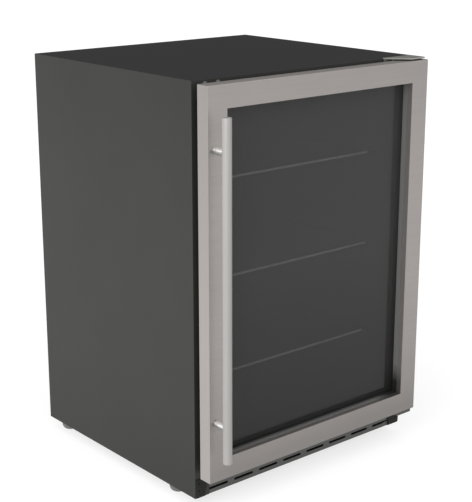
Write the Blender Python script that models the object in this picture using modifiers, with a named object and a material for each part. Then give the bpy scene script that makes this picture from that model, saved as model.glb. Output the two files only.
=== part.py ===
"""Glass door merchandiser: an upright refrigerated cabinet with one hinged glass door.

Frame: metres, +Z up, the door faces -Y, +X is to the right of someone facing the door.
The origin is on the floor, at the centre of the bounding box.
"""
import math

import bmesh
import bpy
from mathutils import Matrix, Vector

OBJECT_NAME = "glass_door_merchandiser"

# Driving dimensions of the cabinet. Depths are measured back from the cabinet's front plane.
WIDTH = 0.595
DEPTH = 0.542
BASE_Z = 0.0254
TOP_Z = 0.865
HALF_WIDTH = WIDTH / 2
SHEET = 0.001
GAP = 0.0003
WRAPPER_EDGE = 0.0006

# How far a cutting solid reaches past what it cuts, and a joined solid into what it joins.
REACH = 0.02
BITE = 0.001

# Clearance where one large moulding or panel stands inside another.
CLEARANCE = 0.0005

# Handle bar, which is the piece that reaches furthest forward.
BAR_RADIUS = 0.0093
BAR_X = -0.281
BAR_DEPTH = -0.0817
BAR_TOP = 0.8064
BAR_BOTTOM = 0.1287
BAR_CHAMFER = 0.001
POST_RADIUS = 0.0065
POST_HEIGHTS = {"upper": 0.7410, "lower": 0.2010}
POST_TIP = 0.003

# The cabinet's front plane in the object's frame, so that the origin is centred in depth.
FRONT_Y = -(DEPTH + BAR_DEPTH - BAR_RADIUS) / 2

# Door.
DOOR_HALF = 0.2967
DOOR_BOTTOM = 0.0752
DOOR_TOP = 0.8606
DOOR_FRONT = -0.0467
DOOR_BACK = -0.0155
WINDOW_HALF = 0.2507
WINDOW_BOTTOM = 0.1210
WINDOW_TOP = 0.8152
SKIN_EDGE = 0.0014
SKIN_RETURN = 0.0128
CORE_BACK = -0.0185

# Sealed glass unit, set deep in the door behind a glazing frame.
GLASS_RECESS = 0.0250
PANE_MARGIN = 0.0049
OUTER_PANE = 0.0040
INNER_PANE = 0.0032
SPACER_DEPTH = 0.0080
SPACER_WIDTH = 0.008
GLAZING_STEP = 0.0006

# Moulded frame on the door's back, with a collar that holds the glass unit.
BACKING_FRONT = -0.0178
COLLAR_WALL = 0.0050
COLLAR_LIP = 0.0015

# Door gasket.
GASKET_INSET = 0.020
GASKET_WIDTH = 0.014
GASKET_FOLD = 0.003
FOLD_DEPTHS = (-0.0110, -0.0060)

# Door hinge axis and the pins on it.
PIVOT_X = 0.2787
PIVOT_DEPTH = (DOOR_FRONT + DOOR_BACK) / 2
PIN_RADIUS = 0.003
PIN_LENGTH = 0.020
BUSH_BORE = 0.00305
BUSH_RADIUS = 0.007
BUSH_FLANGE = 0.009
BUSH_LENGTH = 0.0225
BUSH_RIMS = {"upper": 0.0015, "lower": 0.0014}

# Hinge plates.
LEAF_LEFT = 0.2085
LEAF_RIGHT = 0.2905
LEAF_REACH = 0.0435
LEAF_TIP_LEFT = 0.2515
LEAF_CORNER = 0.0025
FLANGE_HEIGHT = 0.0225
LOWER_FLANGE_HEIGHT = 0.0258
FLANGE_THICKNESS = 0.0028
UPPER_LEAF = (0.8634, 0.8662)
LOWER_LEAF = (0.0674, 0.0732)
SCREW_XS = (0.2345, 0.2660)
SCREW_HEIGHTS = {"upper": 0.8575, "lower": 0.0842}
SCREW_PROFILE = [(0.0, 0.0022), (0.0026, 0.0020), (0.0042, 0.0008), (0.0042, 0.0), (0.0, 0.0)]

# Caps over the screw holes that a left-hand hinge would use.
CAP_PROFILE = [(0.0, 0.0015), (0.0047, 0.0012), (0.0060, 0.0004), (0.0060, 0.0), (0.0, 0.0)]
CAP_Z = 0.8553

# Liner cavity.
CAVITY_HALF = 0.2475
CAVITY_TOP = 0.818
CAVITY_FLOOR = 0.083
CAVITY_BACK = 0.495
SILL_TOP = 0.1105
SILL_DEPTH = 0.022
HUMP_DEPTH = 0.300
HUMP_TOP = 0.235
LINER_WALL = 0.0015
FLANGE_HALF = 0.2605
CABINET_OPENING_HALF = 0.2612
CABINET_OPENING_TOP = 0.8252

# Shelves: heights of the three front trims.
SHELF_HEIGHTS = (0.2555, 0.4580, 0.6600)
SHELF_FRONT = 0.048
SHELF_BACK = 0.450
SHELF_HALF = 0.2440
SHELF_GLASS = 0.004
TRIM_HALF = 0.2180
TRIM_HEIGHT = 0.0045
LEDGE_REACH = 0.0160
LEDGE_HEIGHT = 0.007
TRIM_DEPTH = 0.0037

# Machine compartment behind the hump and the duct under the floor.
FOAM_BOTTOM = 0.060
MACHINE_FRONT = 0.325
MACHINE_TOP = 0.209
MACHINE_HALF = 0.280
PAN_Z = (0.0257, 0.0269)
PAN_FRONT = 0.0150
STEM_HOLE = 0.0050

# Back panel over a louvred cover, with the gland that the mains lead leaves by.
BACK_DEPTHS = (DEPTH - 0.0017, DEPTH - 0.0007)
BACK_SEAM = 0.2142
COVER_BOTTOM = 0.0285
LOUVRE_ROWS = 8
LOUVRE_BOTTOM = 0.070
LOUVRE_PITCH = 0.013
LOUVRE_XS = {"left": -0.135, "right": 0.115}
LOUVRE_SIZE = (0.150, 0.005)
GLAND_X = 0.240
GLAND_Z = 0.060
GLAND_RADIUS = 0.0080
GLAND_BORE = 0.0036
GLAND_LENGTH = 0.0098

# Kick grille.
GRILLE_TOP = 0.0692
GRILLE_BOTTOM = 0.0262
GRILLE_HALF = 0.2605
SLOT_COUNT = 8
SLOT_PITCH = 0.0679
SLOT_LENGTH = 0.051
SLOT_HEIGHT = 0.0050
SLOT_Z = 0.0374
GRILLE_SHEET = 0.0010
GRILLE_LIP = 0.0140

# Corner blocks.
BLOCK_SPANS = {"left": (-0.2690, -0.2975), "right": (0.2595, 0.2955)}
BLOCK_TOP = 0.0668
BLOCK_NOSE = 0.006
BLOCK_NOTCH = (0.0035, 0.0410, 0.0425)
BLOCK_BOTTOM = 0.0262
BLOCK_CORNER = 0.004
BLOCK_FRONT = -0.0018
BLOCK_HOLE_INSET = 0.0088
BLOCK_HOLE_HEIGHTS = (0.0418, 0.0570)
BLOCK_HOLE_RADIUS = 0.0022

# Levelling feet.
FOOT_X = 0.264
FOOT_DEPTHS = {"front": 0.098, "rear": 0.509}
FOOT_RADIUS = 0.0195
FOOT_BASE_RADIUS = 0.0125
FOOT_HEIGHT = 0.0215
FOOT_CURVE = 0.014
FOOT_RIM = 0.001
STEM_RADIUS = 0.004
STEM_TOP = 0.055

# Refrigeration unit.
CONDENSER_FAN = (-0.135, 0.106)
CONDENSER_FAN_RADIUS = 0.060
CONDENSER_HALF = 0.090
CONDENSER_FRONT = 0.345
CONDENSER_DEPTH = 0.040
CONDENSER_Z = (0.0275, 0.1850)
FIN_COUNT = 13
FIN_PITCH = 0.012
FIN_GROOVE = 0.008
FIN_BORDER = 0.007
FIN_DEPTH = 0.030
SHROUD_DEPTHS = (0.3853, 0.4050)
SHROUD_CLEARANCE = 0.006
ROTOR_DEPTH = 0.3952
ROTOR_THICKNESS = 0.014
CONDENSER_MOTOR = (0.4185, 0.021, 0.032)

COMPRESSOR_CENTRE = (0.105, 0.435)
COMPRESSOR_RADIUS = 0.066
COMPRESSOR_TOP = 0.190
COMPRESSOR_DOME = 0.030
COMPRESSOR_WAIST = 0.020
COMPRESSOR_FOOT = 0.016
COMPRESSOR_WALL = 0.020
PLATE_HALF = (0.082, 0.060)
PLATE_THICKNESS = 0.003
TRAY_XS = (-0.225, 0.005)
TRAY_DEPTHS = (0.452, 0.530)
TRAY_HEIGHT = 0.030
TRAY_WALL = 0.002
PIPE_RADIUS = 0.003
PIPE_START_Z = 0.120
PIPE_END = (0.365, 0.140)
PIPE_POINTS = 12

EVAPORATOR_HALF = 0.170
EVAPORATOR_DEPTHS = (0.4640, 0.4900)
EVAPORATOR_Z = (0.330, 0.560)
COIL_COUNT = 12
COIL_PITCH = 0.028
COIL_GROOVE = 0.020
COIL_BORDER = 0.008
COVER_HALF = 0.200
COVER_FRONT = 0.456
COVER_Z = (0.300, 0.775)
COVER_SLOT_PITCH = 0.012
OUTLET_SLOT = 0.006
INTAKE_SLOT = (0.280, 0.005)
INTAKE_Z = 0.360
EVAPORATOR_FAN_Z = 0.670
EVAPORATOR_FAN_RADIUS = 0.045
EVAPORATOR_ROTOR_DEPTH = 0.4700
EVAPORATOR_ROTOR_THICKNESS = 0.012
EVAPORATOR_MOTOR = (0.4853, 0.016, 0.018)

FAN_BLADES = 5
HUB_RATIO = 0.28
BLADE_RATIO = 0.55
BLADE_THICKNESS = 0.0016
BLADE_PITCH = math.radians(20)

# Controls under the ceiling.
CONTROL_HALF = 0.070
CONTROL_DEPTHS = (0.060, 0.130)
CONTROL_BOTTOM = 0.790
LIGHT_HALF = 0.200
LIGHT_DEPTHS = (0.030, 0.046)
LIGHT_BOTTOM = 0.8085
CASE_EDGE = 0.002
KNOB_X = 0.030
KNOB_DEPTH = 0.095
KNOB_RADIUS = 0.015
KNOB_SKIRT = 0.003
KNOB_TAPER = 0.002
KNOB_HEIGHT = 0.012
POINTER_HALF = 0.001

# Colour, roughness and metallic value of each material.
MATERIALS = {
    "painted_charcoal": ((0.083, 0.083, 0.079), 0.45, 0.0),
    "stainless": ((0.45, 0.43, 0.41), 0.32, 1.0),
    "handle_steel": ((0.58, 0.56, 0.54), 0.30, 1.0),
    "chrome": ((0.80, 0.80, 0.80), 0.08, 1.0),
    "grille_steel": ((0.16, 0.16, 0.155), 0.40, 0.6),
    "hinge_steel": ((0.33, 0.33, 0.31), 0.35, 1.0),
    "glazing_grey": ((0.30, 0.30, 0.29), 0.45, 0.6),
    "black_plastic": ((0.022, 0.022, 0.022), 0.55, 0.0),
    "black_rubber": ((0.018, 0.018, 0.018), 0.75, 0.0),
    "liner_plastic": ((0.055, 0.055, 0.055), 0.50, 0.0),
    "glass": ((0.62, 0.66, 0.66), 0.03, 0.0),
    "shelf_trim": ((0.60, 0.60, 0.60), 0.20, 1.0),
    "foot_plastic": ((0.36, 0.37, 0.35), 0.50, 0.0),
    "foam": ((0.80, 0.74, 0.55), 0.90, 0.0),
    "compressor_black": ((0.015, 0.015, 0.015), 0.35, 0.0),
    "aluminium": ((0.62, 0.63, 0.64), 0.35, 1.0),
    "copper": ((0.72, 0.35, 0.22), 0.30, 1.0),
    "zinc": ((0.50, 0.51, 0.52), 0.40, 1.0),
    "lens": ((0.85, 0.85, 0.82), 0.30, 0.0),
}


def clear_scene():
    for ob in list(bpy.data.objects):
        bpy.data.objects.remove(ob, do_unlink=True)


def new_collection(name):
    coll = bpy.data.collections.new(name)
    bpy.context.scene.collection.children.link(coll)
    return coll


def material(name, kind):
    """A material of the node's own, with the finish of its kind."""
    colour, roughness, metallic = MATERIALS[kind]
    mat = bpy.data.materials.new(name + "_" + kind)
    mat.use_nodes = True
    shader = mat.node_tree.nodes["Principled BSDF"]
    shader.inputs["Base Color"].default_value = (*colour, 1.0)
    shader.inputs["Roughness"].default_value = roughness
    shader.inputs["Metallic"].default_value = metallic
    return mat


def at(x, depth, z):
    """A point in the object's frame, from its depth behind the cabinet's front plane."""
    return Vector((x, FRONT_Y + depth, z))


def add_object(name, mesh, location, kind=None):
    """Put a mesh in the parts' collection, or among the cutters when it has no material."""
    ob = bpy.data.objects.new(name, mesh)
    ob.location = location
    if kind:
        parts.objects.link(ob)
        mesh.materials.append(material(name, kind))
    else:
        cutters.objects.link(ob)
        ob.hide_render = True
        ob.display_type = "WIRE"
    return ob


def finish_mesh(bm, name):
    mesh = bpy.data.meshes.new(name)
    bm.normal_update()
    bm.to_mesh(mesh)
    bm.free()
    return mesh


def box(name, xs, depths, zs, kind=None):
    """A box between pairs of x, depth and z, with its origin at its centre."""
    size = (xs[1] - xs[0], depths[1] - depths[0], zs[1] - zs[0])
    centre = at(sum(xs) / 2, sum(depths) / 2, sum(zs) / 2)
    bm = bmesh.new()
    bmesh.ops.create_cube(bm, size=1.0)
    bmesh.ops.scale(bm, vec=size, verts=bm.verts)
    return add_object(name, finish_mesh(bm, name), centre, kind)


def cylinder(name, centre, radius, length, axis="Z", kind=None, sides=24):
    """A cylinder along Z or along Y, with its origin at its centre."""
    bm = bmesh.new()
    bmesh.ops.create_cone(bm, cap_ends=True, segments=sides, radius1=radius, radius2=radius, depth=length)
    if axis == "Y":
        bmesh.ops.transform(bm, matrix=Matrix.Rotation(math.pi / 2, 4, "X"), verts=bm.verts)
    return add_object(name, finish_mesh(bm, name), centre, kind)


def turned(name, profile, centre, axis="Z", kind=None, steps=24, closed=False):
    """A turned piece. The profile's (radius, height) points run down its outer side."""
    bm = bmesh.new()
    verts = [bm.verts.new((radius, 0.0, height)) for radius, height in profile]
    for first, second in zip(verts, verts[1:]):
        bm.edges.new((first, second))
    if closed:
        bm.edges.new((verts[-1], verts[0]))
    ob = add_object(name, finish_mesh(bm, name), centre, kind)
    if axis == "Y":
        ob.rotation_euler = (math.pi / 2, 0.0, 0.0)
    screw = ob.modifiers.new("turn", "SCREW")
    screw.steps = steps
    screw.render_steps = steps
    screw.use_merge_vertices = True
    screw.merge_threshold = 0.00001
    return ob


def prism(name, points, span, plane, kind=None):
    """A flat outline made thick. Plane XY rises along Z, XZ runs back in depth, YZ runs along X."""
    curve = bpy.data.curves.new(name, "CURVE")
    curve.dimensions = "2D"
    curve.fill_mode = "BOTH"
    curve.extrude = (span[1] - span[0]) / 2
    spline = curve.splines.new("POLY")
    spline.points.add(len(points) - 1)
    for point, (u, v) in zip(spline.points, points):
        point.co = (u, v, 0.0, 1.0)
    spline.use_cyclic_u = True
    middle = sum(span) / 2
    place = {
        "XY": Matrix.Translation(at(0, 0, middle)),
        "XZ": Matrix.Translation(at(0, middle, 0)) @ Matrix.Rotation(math.pi / 2, 4, "X"),
        "YZ": Matrix.Translation(at(middle, 0, 0))
        @ Matrix.Rotation(math.pi / 2, 4, "Z") @ Matrix.Rotation(math.pi / 2, 4, "X"),
    }
    return curve_to_mesh(name, curve, place[plane], kind)


def curve_to_mesh(name, curve, matrix, kind=None):
    """Turn a curve into a welded mesh object that Boolean modifiers can use."""
    guide = bpy.data.objects.new(name + "_curve", curve)
    guide.matrix_world = matrix
    cutters.objects.link(guide)
    bpy.context.view_layer.update()
    depsgraph = bpy.context.evaluated_depsgraph_get()
    mesh = bpy.data.meshes.new_from_object(guide.evaluated_get(depsgraph))
    bm = bmesh.new()
    bm.from_mesh(mesh)
    bmesh.ops.remove_doubles(bm, verts=bm.verts, dist=0.00001)
    bmesh.ops.recalc_face_normals(bm, faces=bm.faces)
    bm.to_mesh(mesh)
    bm.free()
    mesh.materials.clear()
    ob = add_object(name, mesh, (0, 0, 0), kind)
    ob.matrix_world = guide.matrix_world.copy()
    bpy.data.objects.remove(guide, do_unlink=True)
    return ob


def combine(target, tool, operation):
    modifier = target.modifiers.new(tool.name, "BOOLEAN")
    modifier.operation = operation
    modifier.object = tool
    return target


def cut(target, *tools):
    for tool in tools:
        combine(target, tool, "DIFFERENCE")
    return target


def join(target, *tools):
    for tool in tools:
        combine(target, tool, "UNION")
    return target


def bevel(ob, width, segments=2, angle=math.radians(40)):
    modifier = ob.modifiers.new("soft_edges", "BEVEL")
    modifier.width = width
    modifier.segments = segments
    modifier.limit_method = "ANGLE"
    modifier.angle_limit = angle
    return ob


def smooth(ob, angle=math.radians(35)):
    ob.data.shade_smooth()
    ob.data.set_sharp_from_angle(angle=angle)
    return ob


def ring(name, half, zs, border, depths, kind=None):
    """A rectangular frame: its outer half width and heights, and the width of its border."""
    frame = box(name, (-half, half), depths, zs, kind)
    inner = half - border
    through = (depths[0] - REACH, depths[1] + REACH)
    hole = box(name + "_opening", (-inner, inner), through, (zs[0] + border, zs[1] - border))
    return cut(frame, hole)


def arc(centre, radius, start, end, count):
    """Points on an arc, angles in degrees."""
    points = []
    for step in range(count + 1):
        angle = math.radians(start + (end - start) * step / count)
        points.append((centre[0] + radius * math.cos(angle), centre[1] + radius * math.sin(angle)))
    return points


def stadium(x, z, length, height):
    """The outline of a slot with round ends."""
    radius = height / 2
    reach = length / 2 - radius
    right = arc((x + reach, z), radius, -90, 90, 6)
    left = arc((x - reach, z), radius, 90, 270, 6)
    return right + left


def hold(children, pivot):
    """Parent pieces to an empty that stands on their joint's axis."""
    bpy.context.view_layer.update()
    for child in children:
        child.parent = pivot
        child.matrix_parent_inverse = pivot.matrix_world.inverted()


# ---------------------------------------------------------------- cabinet

def make_outer_wrapper():
    """Two sides and top folded from one sheet, with a front flange that the door seals on."""
    wrapper = box("outer_wrapper", (-HALF_WIDTH, HALF_WIDTH), (0, DEPTH), (BASE_Z, TOP_Z), "painted_charcoal")
    bevel(wrapper, WRAPPER_EDGE)
    inside = HALF_WIDTH - SHEET
    hollow = box("wrapper_hollow", (-inside, inside), (SHEET, DEPTH + REACH), (0, TOP_Z - SHEET))
    mouth = box("wrapper_mouth", (-CABINET_OPENING_HALF, CABINET_OPENING_HALF), (-REACH, REACH),
                (0, CABINET_OPENING_TOP))
    cut(wrapper, hollow, mouth)


def make_back():
    """Back panel, and below it the louvred cover of the machine space with the lead's gland."""
    inside = HALF_WIDTH - SHEET - GAP
    xs = (-inside, inside)
    box("back_panel", xs, BACK_DEPTHS, (BACK_SEAM + GAP, TOP_Z - SHEET - GAP), "painted_charcoal")
    cover = box("rear_cover", xs, BACK_DEPTHS, (COVER_BOTTOM, BACK_SEAM - GAP), "painted_charcoal")
    through = (DEPTH - REACH, DEPTH + REACH)
    for row in range(LOUVRE_ROWS):
        z = LOUVRE_BOTTOM + LOUVRE_PITCH * row
        for side, x in LOUVRE_XS.items():
            slot = prism(f"louvre_{side}_{row}", stadium(x, z, *LOUVRE_SIZE), through, "XZ")
            cut(cover, slot)
    gland_at = at(GLAND_X, DEPTH - GLAND_LENGTH / 2, GLAND_Z)
    hole = cylinder("gland_hole", gland_at, GLAND_RADIUS + GAP, 2 * REACH, "Y")
    cut(cover, hole)
    gland = cylinder("cord_gland", gland_at, GLAND_RADIUS, GLAND_LENGTH, "Y", "black_rubber")
    bore = cylinder("gland_bore", gland_at, GLAND_BORE, 2 * REACH, "Y")
    cut(gland, bore)
    smooth(gland)


def make_base_pan():
    """Floor of the machine space, with a hole for each foot's stem."""
    inside = HALF_WIDTH - SHEET - GAP
    pan = box("base_pan", (-inside, inside), (PAN_FRONT, BACK_DEPTHS[0] - CLEARANCE), PAN_Z, "zinc")
    for end, depth in FOOT_DEPTHS.items():
        for side, sign in (("left", -1), ("right", 1)):
            hole = cylinder(f"stem_hole_{end}_{side}", at(sign * FOOT_X, depth, PAN_Z[0]), STEM_HOLE, REACH)
            cut(pan, hole)


def cavity_outline(grow, front):
    """Side view of the liner's cavity, as (depth, z), grown outwards by an amount."""
    return [
        (front, SILL_TOP - grow),
        (SILL_DEPTH - grow, SILL_TOP - grow),
        (SILL_DEPTH - grow, CAVITY_FLOOR - grow),
        (HUMP_DEPTH + grow, CAVITY_FLOOR - grow),
        (HUMP_DEPTH + grow, HUMP_TOP - grow),
        (CAVITY_BACK + grow, HUMP_TOP - grow),
        (CAVITY_BACK + grow, CAVITY_TOP + grow),
        (front, CAVITY_TOP + grow),
    ]


def make_liner():
    """Moulded liner: front flange, sill, sunk floor, hump over the compressor and shelf ledges."""
    outer = CAVITY_HALF + LINER_WALL
    liner = prism("inner_liner", cavity_outline(LINER_WALL, 0.0), (-outer, outer), "YZ", "liner_plastic")
    flange = box("liner_flange", (-FLANGE_HALF, FLANGE_HALF), (0.0, LINER_WALL),
                 (GRILLE_TOP + GAP, CABINET_OPENING_TOP - CLEARANCE))
    cavity = prism("liner_cavity", cavity_outline(0.0, -REACH), (-CAVITY_HALF, CAVITY_HALF), "YZ")
    join(liner, flange)
    cut(liner, cavity)
    for level, height in enumerate(SHELF_HEIGHTS, 1):
        top = height - SHELF_GLASS / 2 - GAP
        for side, sign in (("left", -1), ("right", 1)):
            xs = sorted((sign * (CAVITY_HALF - LEDGE_REACH), sign * (CAVITY_HALF + BITE)))
            ledge = box(f"ledge_{side}_{level}", xs, (SHELF_FRONT - 2 * BITE, SHELF_BACK + 2 * BITE),
                        (top - LEDGE_HEIGHT, top))
            join(liner, ledge)


def make_foam():
    """Insulation that fills the cabinet's walls, open at the mouth and over the machine space."""
    inside = HALF_WIDTH - SHEET - CLEARANCE
    foam = box("insulation_foam", (-inside, inside), (LINER_WALL + GAP, BACK_DEPTHS[0] - GAP),
               (FOAM_BOTTOM, TOP_Z - SHEET - CLEARANCE), "foam")
    clear = LINER_WALL + GAP
    cavity = prism("foam_cavity", cavity_outline(clear, -REACH),
                   (-CAVITY_HALF - clear, CAVITY_HALF + clear), "YZ")
    machine = box("foam_machine_space", (-MACHINE_HALF, MACHINE_HALF), (MACHINE_FRONT, DEPTH + REACH),
                  (0, MACHINE_TOP))
    cut(foam, cavity, machine)


def make_grille():
    """Kick plate with a row of round-ended slots and a lip folded back along its lower edge."""
    xs = (-GRILLE_HALF, GRILLE_HALF)
    grille = box("front_grille", xs, (0.0, GRILLE_SHEET), (GRILLE_BOTTOM, GRILLE_TOP), "grille_steel")
    lip = box("grille_lip", xs, (0.0, GRILLE_LIP), (GRILLE_BOTTOM, GRILLE_BOTTOM + GRILLE_SHEET))
    join(grille, lip)
    for index in range(SLOT_COUNT):
        x = (index - (SLOT_COUNT - 1) / 2) * SLOT_PITCH
        slot = prism(f"grille_slot_{index + 1}", stadium(x, SLOT_Z, SLOT_LENGTH, SLOT_HEIGHT),
                     (-GRILLE_LIP / 2, GRILLE_LIP / 2), "XZ")
        cut(grille, slot)


def corner_outline(inner, outer):
    """Front view of a corner block: rounded at three corners, and stepped back below its nose."""
    side = 1 if outer > inner else -1
    reach = abs(outer - inner)
    back, notch_low, notch_high = BLOCK_NOTCH
    points = [(0.0, notch_high), (back, notch_low), (back, BLOCK_BOTTOM)]
    points += arc((reach - BLOCK_CORNER, BLOCK_BOTTOM + BLOCK_CORNER), BLOCK_CORNER, -90, 0, 5)
    points += [(reach, BLOCK_TOP)]
    points += arc((BLOCK_NOSE, BLOCK_TOP - BLOCK_NOSE), BLOCK_NOSE, 90, 180, 5)
    return [(inner + side * x, z) for x, z in points]


def make_corner_blocks():
    for side, (inner, outer) in BLOCK_SPANS.items():
        block = prism("corner_block_" + side, corner_outline(inner, outer), (BLOCK_FRONT, -GAP), "XZ",
                      "black_plastic")
        hole_x = outer - math.copysign(BLOCK_HOLE_INSET, outer)
        for row, z in enumerate(BLOCK_HOLE_HEIGHTS):
            hole = cylinder(f"block_hole_{side}_{row}", at(hole_x, 0, z), BLOCK_HOLE_RADIUS, REACH, "Y",
                            sides=16)
            cut(block, hole)


def make_hinge(name, leaf, flange, pin_span):
    """A plate bent at the cabinet's face: a tapered leaf that carries the pin, and a screwed flange."""
    outline = [(LEAF_LEFT, -GAP), (LEAF_TIP_LEFT, -LEAF_REACH)]
    outline += arc((LEAF_RIGHT - LEAF_CORNER, -LEAF_REACH + LEAF_CORNER), LEAF_CORNER, -90, 0, 4)
    outline += [(LEAF_RIGHT, -GAP)]
    hinge = prism(name, outline, leaf, "XY", "hinge_steel")
    step = 0.0004
    web = box(name + "_flange", (LEAF_LEFT + step, LEAF_RIGHT - step),
              (-GAP - FLANGE_THICKNESS, -GAP - step / 2), flange)
    middle = sum(pin_span) / 2
    pin = cylinder(name + "_pin", at(PIVOT_X, PIVOT_DEPTH, middle), PIN_RADIUS, pin_span[1] - pin_span[0])
    join(hinge, web, pin)
    return hinge


def make_hinges():
    """Hinges at the door's right corners, their screws, and caps over the unused holes at the left."""
    top_flange = (UPPER_LEAF[1] - FLANGE_HEIGHT, UPPER_LEAF[1] - BITE)
    low_flange = (LOWER_LEAF[0] + BITE, LOWER_LEAF[0] + LOWER_FLANGE_HEIGHT)
    make_hinge("upper_hinge", UPPER_LEAF, top_flange, (UPPER_LEAF[0] - PIN_LENGTH, UPPER_LEAF[0] + BITE))
    make_hinge("lower_hinge", LOWER_LEAF, low_flange, (LOWER_LEAF[1] - BITE, LOWER_LEAF[1] + PIN_LENGTH))
    face = -GAP - FLANGE_THICKNESS - GAP
    for level, z in SCREW_HEIGHTS.items():
        for index, x in enumerate(SCREW_XS, 1):
            screw = turned(f"hinge_screw_{level}_{index}", SCREW_PROFILE, at(x, face, z), "Y", "zinc", 16)
            smooth(screw)
    for index, x in enumerate(SCREW_XS, 1):
        cap = turned(f"hole_cap_{index}", CAP_PROFILE, at(-x, -GAP, CAP_Z), "Y", "foot_plastic",
                     16)
        smooth(cap)


def make_shelves():
    """Glass shelves on the liner's ledges, each with a bright trim along its front edge."""
    half_glass = SHELF_GLASS / 2
    half_trim = TRIM_HEIGHT / 2
    trim_back = SHELF_FRONT - GAP
    for level, height in enumerate(SHELF_HEIGHTS, 1):
        box(f"shelf_glass_{level}", (-SHELF_HALF, SHELF_HALF), (SHELF_FRONT, SHELF_BACK),
            (height - half_glass, height + half_glass), "glass")
        trim = box(f"shelf_trim_{level}", (-TRIM_HALF, TRIM_HALF), (trim_back - TRIM_DEPTH, trim_back),
                   (height - half_trim, height + half_trim), "shelf_trim")
        bevel(trim, 0.0010)


# ---------------------------------------------------------------- door

def make_door_skin():
    """Folded frame skin: front face, outer returns to the back and short inner returns round the window."""
    skin = box("door_skin", (-DOOR_HALF, DOOR_HALF), (DOOR_FRONT, DOOR_BACK), (DOOR_BOTTOM, DOOR_TOP),
               "stainless")
    bevel(skin, SKIN_EDGE)
    half = DOOR_HALF - SHEET
    hollow = box("skin_hollow", (-half, half), (DOOR_FRONT + SHEET, 0.0),
                 (DOOR_BOTTOM + SHEET, DOOR_TOP - SHEET))
    lip = WINDOW_HALF + SHEET
    keep = box("skin_inner_return", (-lip, lip), (DOOR_FRONT - REACH, REACH),
               (WINDOW_BOTTOM - SHEET, WINDOW_TOP + SHEET))
    cut(hollow, keep)
    window = box("skin_window", (-WINDOW_HALF, WINDOW_HALF), (DOOR_FRONT - REACH, REACH),
                 (WINDOW_BOTTOM, WINDOW_TOP))
    clear = 4 * SHEET
    behind = box("skin_return_end", (-WINDOW_HALF - clear, WINDOW_HALF + clear),
                 (DOOR_FRONT + SKIN_RETURN - GAP, REACH), (WINDOW_BOTTOM - clear, WINDOW_TOP + clear))
    cut(skin, hollow, window, behind)
    return skin


def make_backing_frame(core_half, core_zs, pane_half, pane_zs):
    """Flat frame that closes the door's back, with a collar whose lip holds the glass unit from behind."""
    trim = 0.0002
    collar_back = DOOR_FRONT + GLASS_RECESS + OUTER_PANE + SPACER_DEPTH + INNER_PANE + 3 * GAP + COLLAR_LIP
    pocket = pane_half + GAP
    collar = pocket + COLLAR_WALL
    grow = collar - pane_half
    half = core_half - trim
    frame = ring("door_backing_frame", half, (core_zs[0] + trim, core_zs[1] - trim), half - pocket - BITE,
                 (BACKING_FRONT, DOOR_BACK), "black_plastic")
    rim = ring("backing_collar", collar, (pane_zs[0] - grow, pane_zs[1] + grow), grow + SPACER_WIDTH,
               (BACKING_FRONT + trim, collar_back))
    seat = box("backing_seat", (-pocket, pocket), (BACKING_FRONT - REACH, collar_back - COLLAR_LIP),
               (pane_zs[0] - GAP, pane_zs[1] + GAP))
    cut(rim, seat)
    join(frame, rim)
    return frame


def make_glass_unit(pane_half, pane_zs):
    """Two panes on a spacer, and the glazing frame in front of them that lines the deep window."""
    front = DOOR_FRONT + GLASS_RECESS
    spacer_front = front + OUTER_PANE + GAP
    inner_front = spacer_front + SPACER_DEPTH + GAP
    xs = (-pane_half, pane_half)
    glazing = ring("glazing_frame", pane_half, pane_zs, PANE_MARGIN + GLAZING_STEP,
                   (DOOR_FRONT + SKIN_RETURN, front - GAP), "glazing_grey")
    outer = box("glass_outer", xs, (front, front + OUTER_PANE), pane_zs, "glass")
    spacer = ring("glass_spacer", pane_half, pane_zs, SPACER_WIDTH,
                  (spacer_front, spacer_front + SPACER_DEPTH), "black_plastic")
    inner = box("glass_inner", xs, (inner_front, inner_front + INNER_PANE), pane_zs, "glass")
    return [glazing, outer, spacer, inner]


def make_door():
    """All pieces that swing with the door."""
    skin = make_door_skin()
    pane_half = WINDOW_HALF + PANE_MARGIN
    pane_zs = (WINDOW_BOTTOM - PANE_MARGIN, WINDOW_TOP + PANE_MARGIN)
    clear = SHEET + CLEARANCE
    core_half = DOOR_HALF - clear
    core_zs = (DOOR_BOTTOM + clear, DOOR_TOP - clear)
    core = ring("door_core", core_half, core_zs, core_half - pane_half - 2 * CLEARANCE,
                (DOOR_FRONT + SHEET + GAP, CORE_BACK), "black_plastic")
    backing = make_backing_frame(core_half, core_zs, pane_half, pane_zs)
    glass = make_glass_unit(pane_half, pane_zs)
    bushes = make_bushes(skin, core)
    return [skin, core, backing, *glass, make_gasket(), *bushes, *make_handle()]


def make_gasket():
    """Magnetic gasket: a ring with a fold pressed in on its outer and inner sides."""
    half = DOOR_HALF - GASKET_INSET
    zs = (DOOR_BOTTOM + GASKET_INSET, DOOR_TOP - GASKET_INSET)
    gasket = ring("door_gasket", half, zs, GASKET_WIDTH, (DOOR_BACK + GAP, -GAP), "black_rubber")
    beyond = 0.005
    outer_fold = ring("gasket_outer_fold", half + beyond, (zs[0] - beyond, zs[1] + beyond),
                      beyond + GASKET_FOLD, FOLD_DEPTHS)
    rim = GASKET_WIDTH - GASKET_FOLD
    inner_fold = box("gasket_inner_fold", (rim - half, half - rim), FOLD_DEPTHS, (zs[0] + rim, zs[1] - rim))
    cut(gasket, outer_fold, inner_fold)
    return gasket


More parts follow.
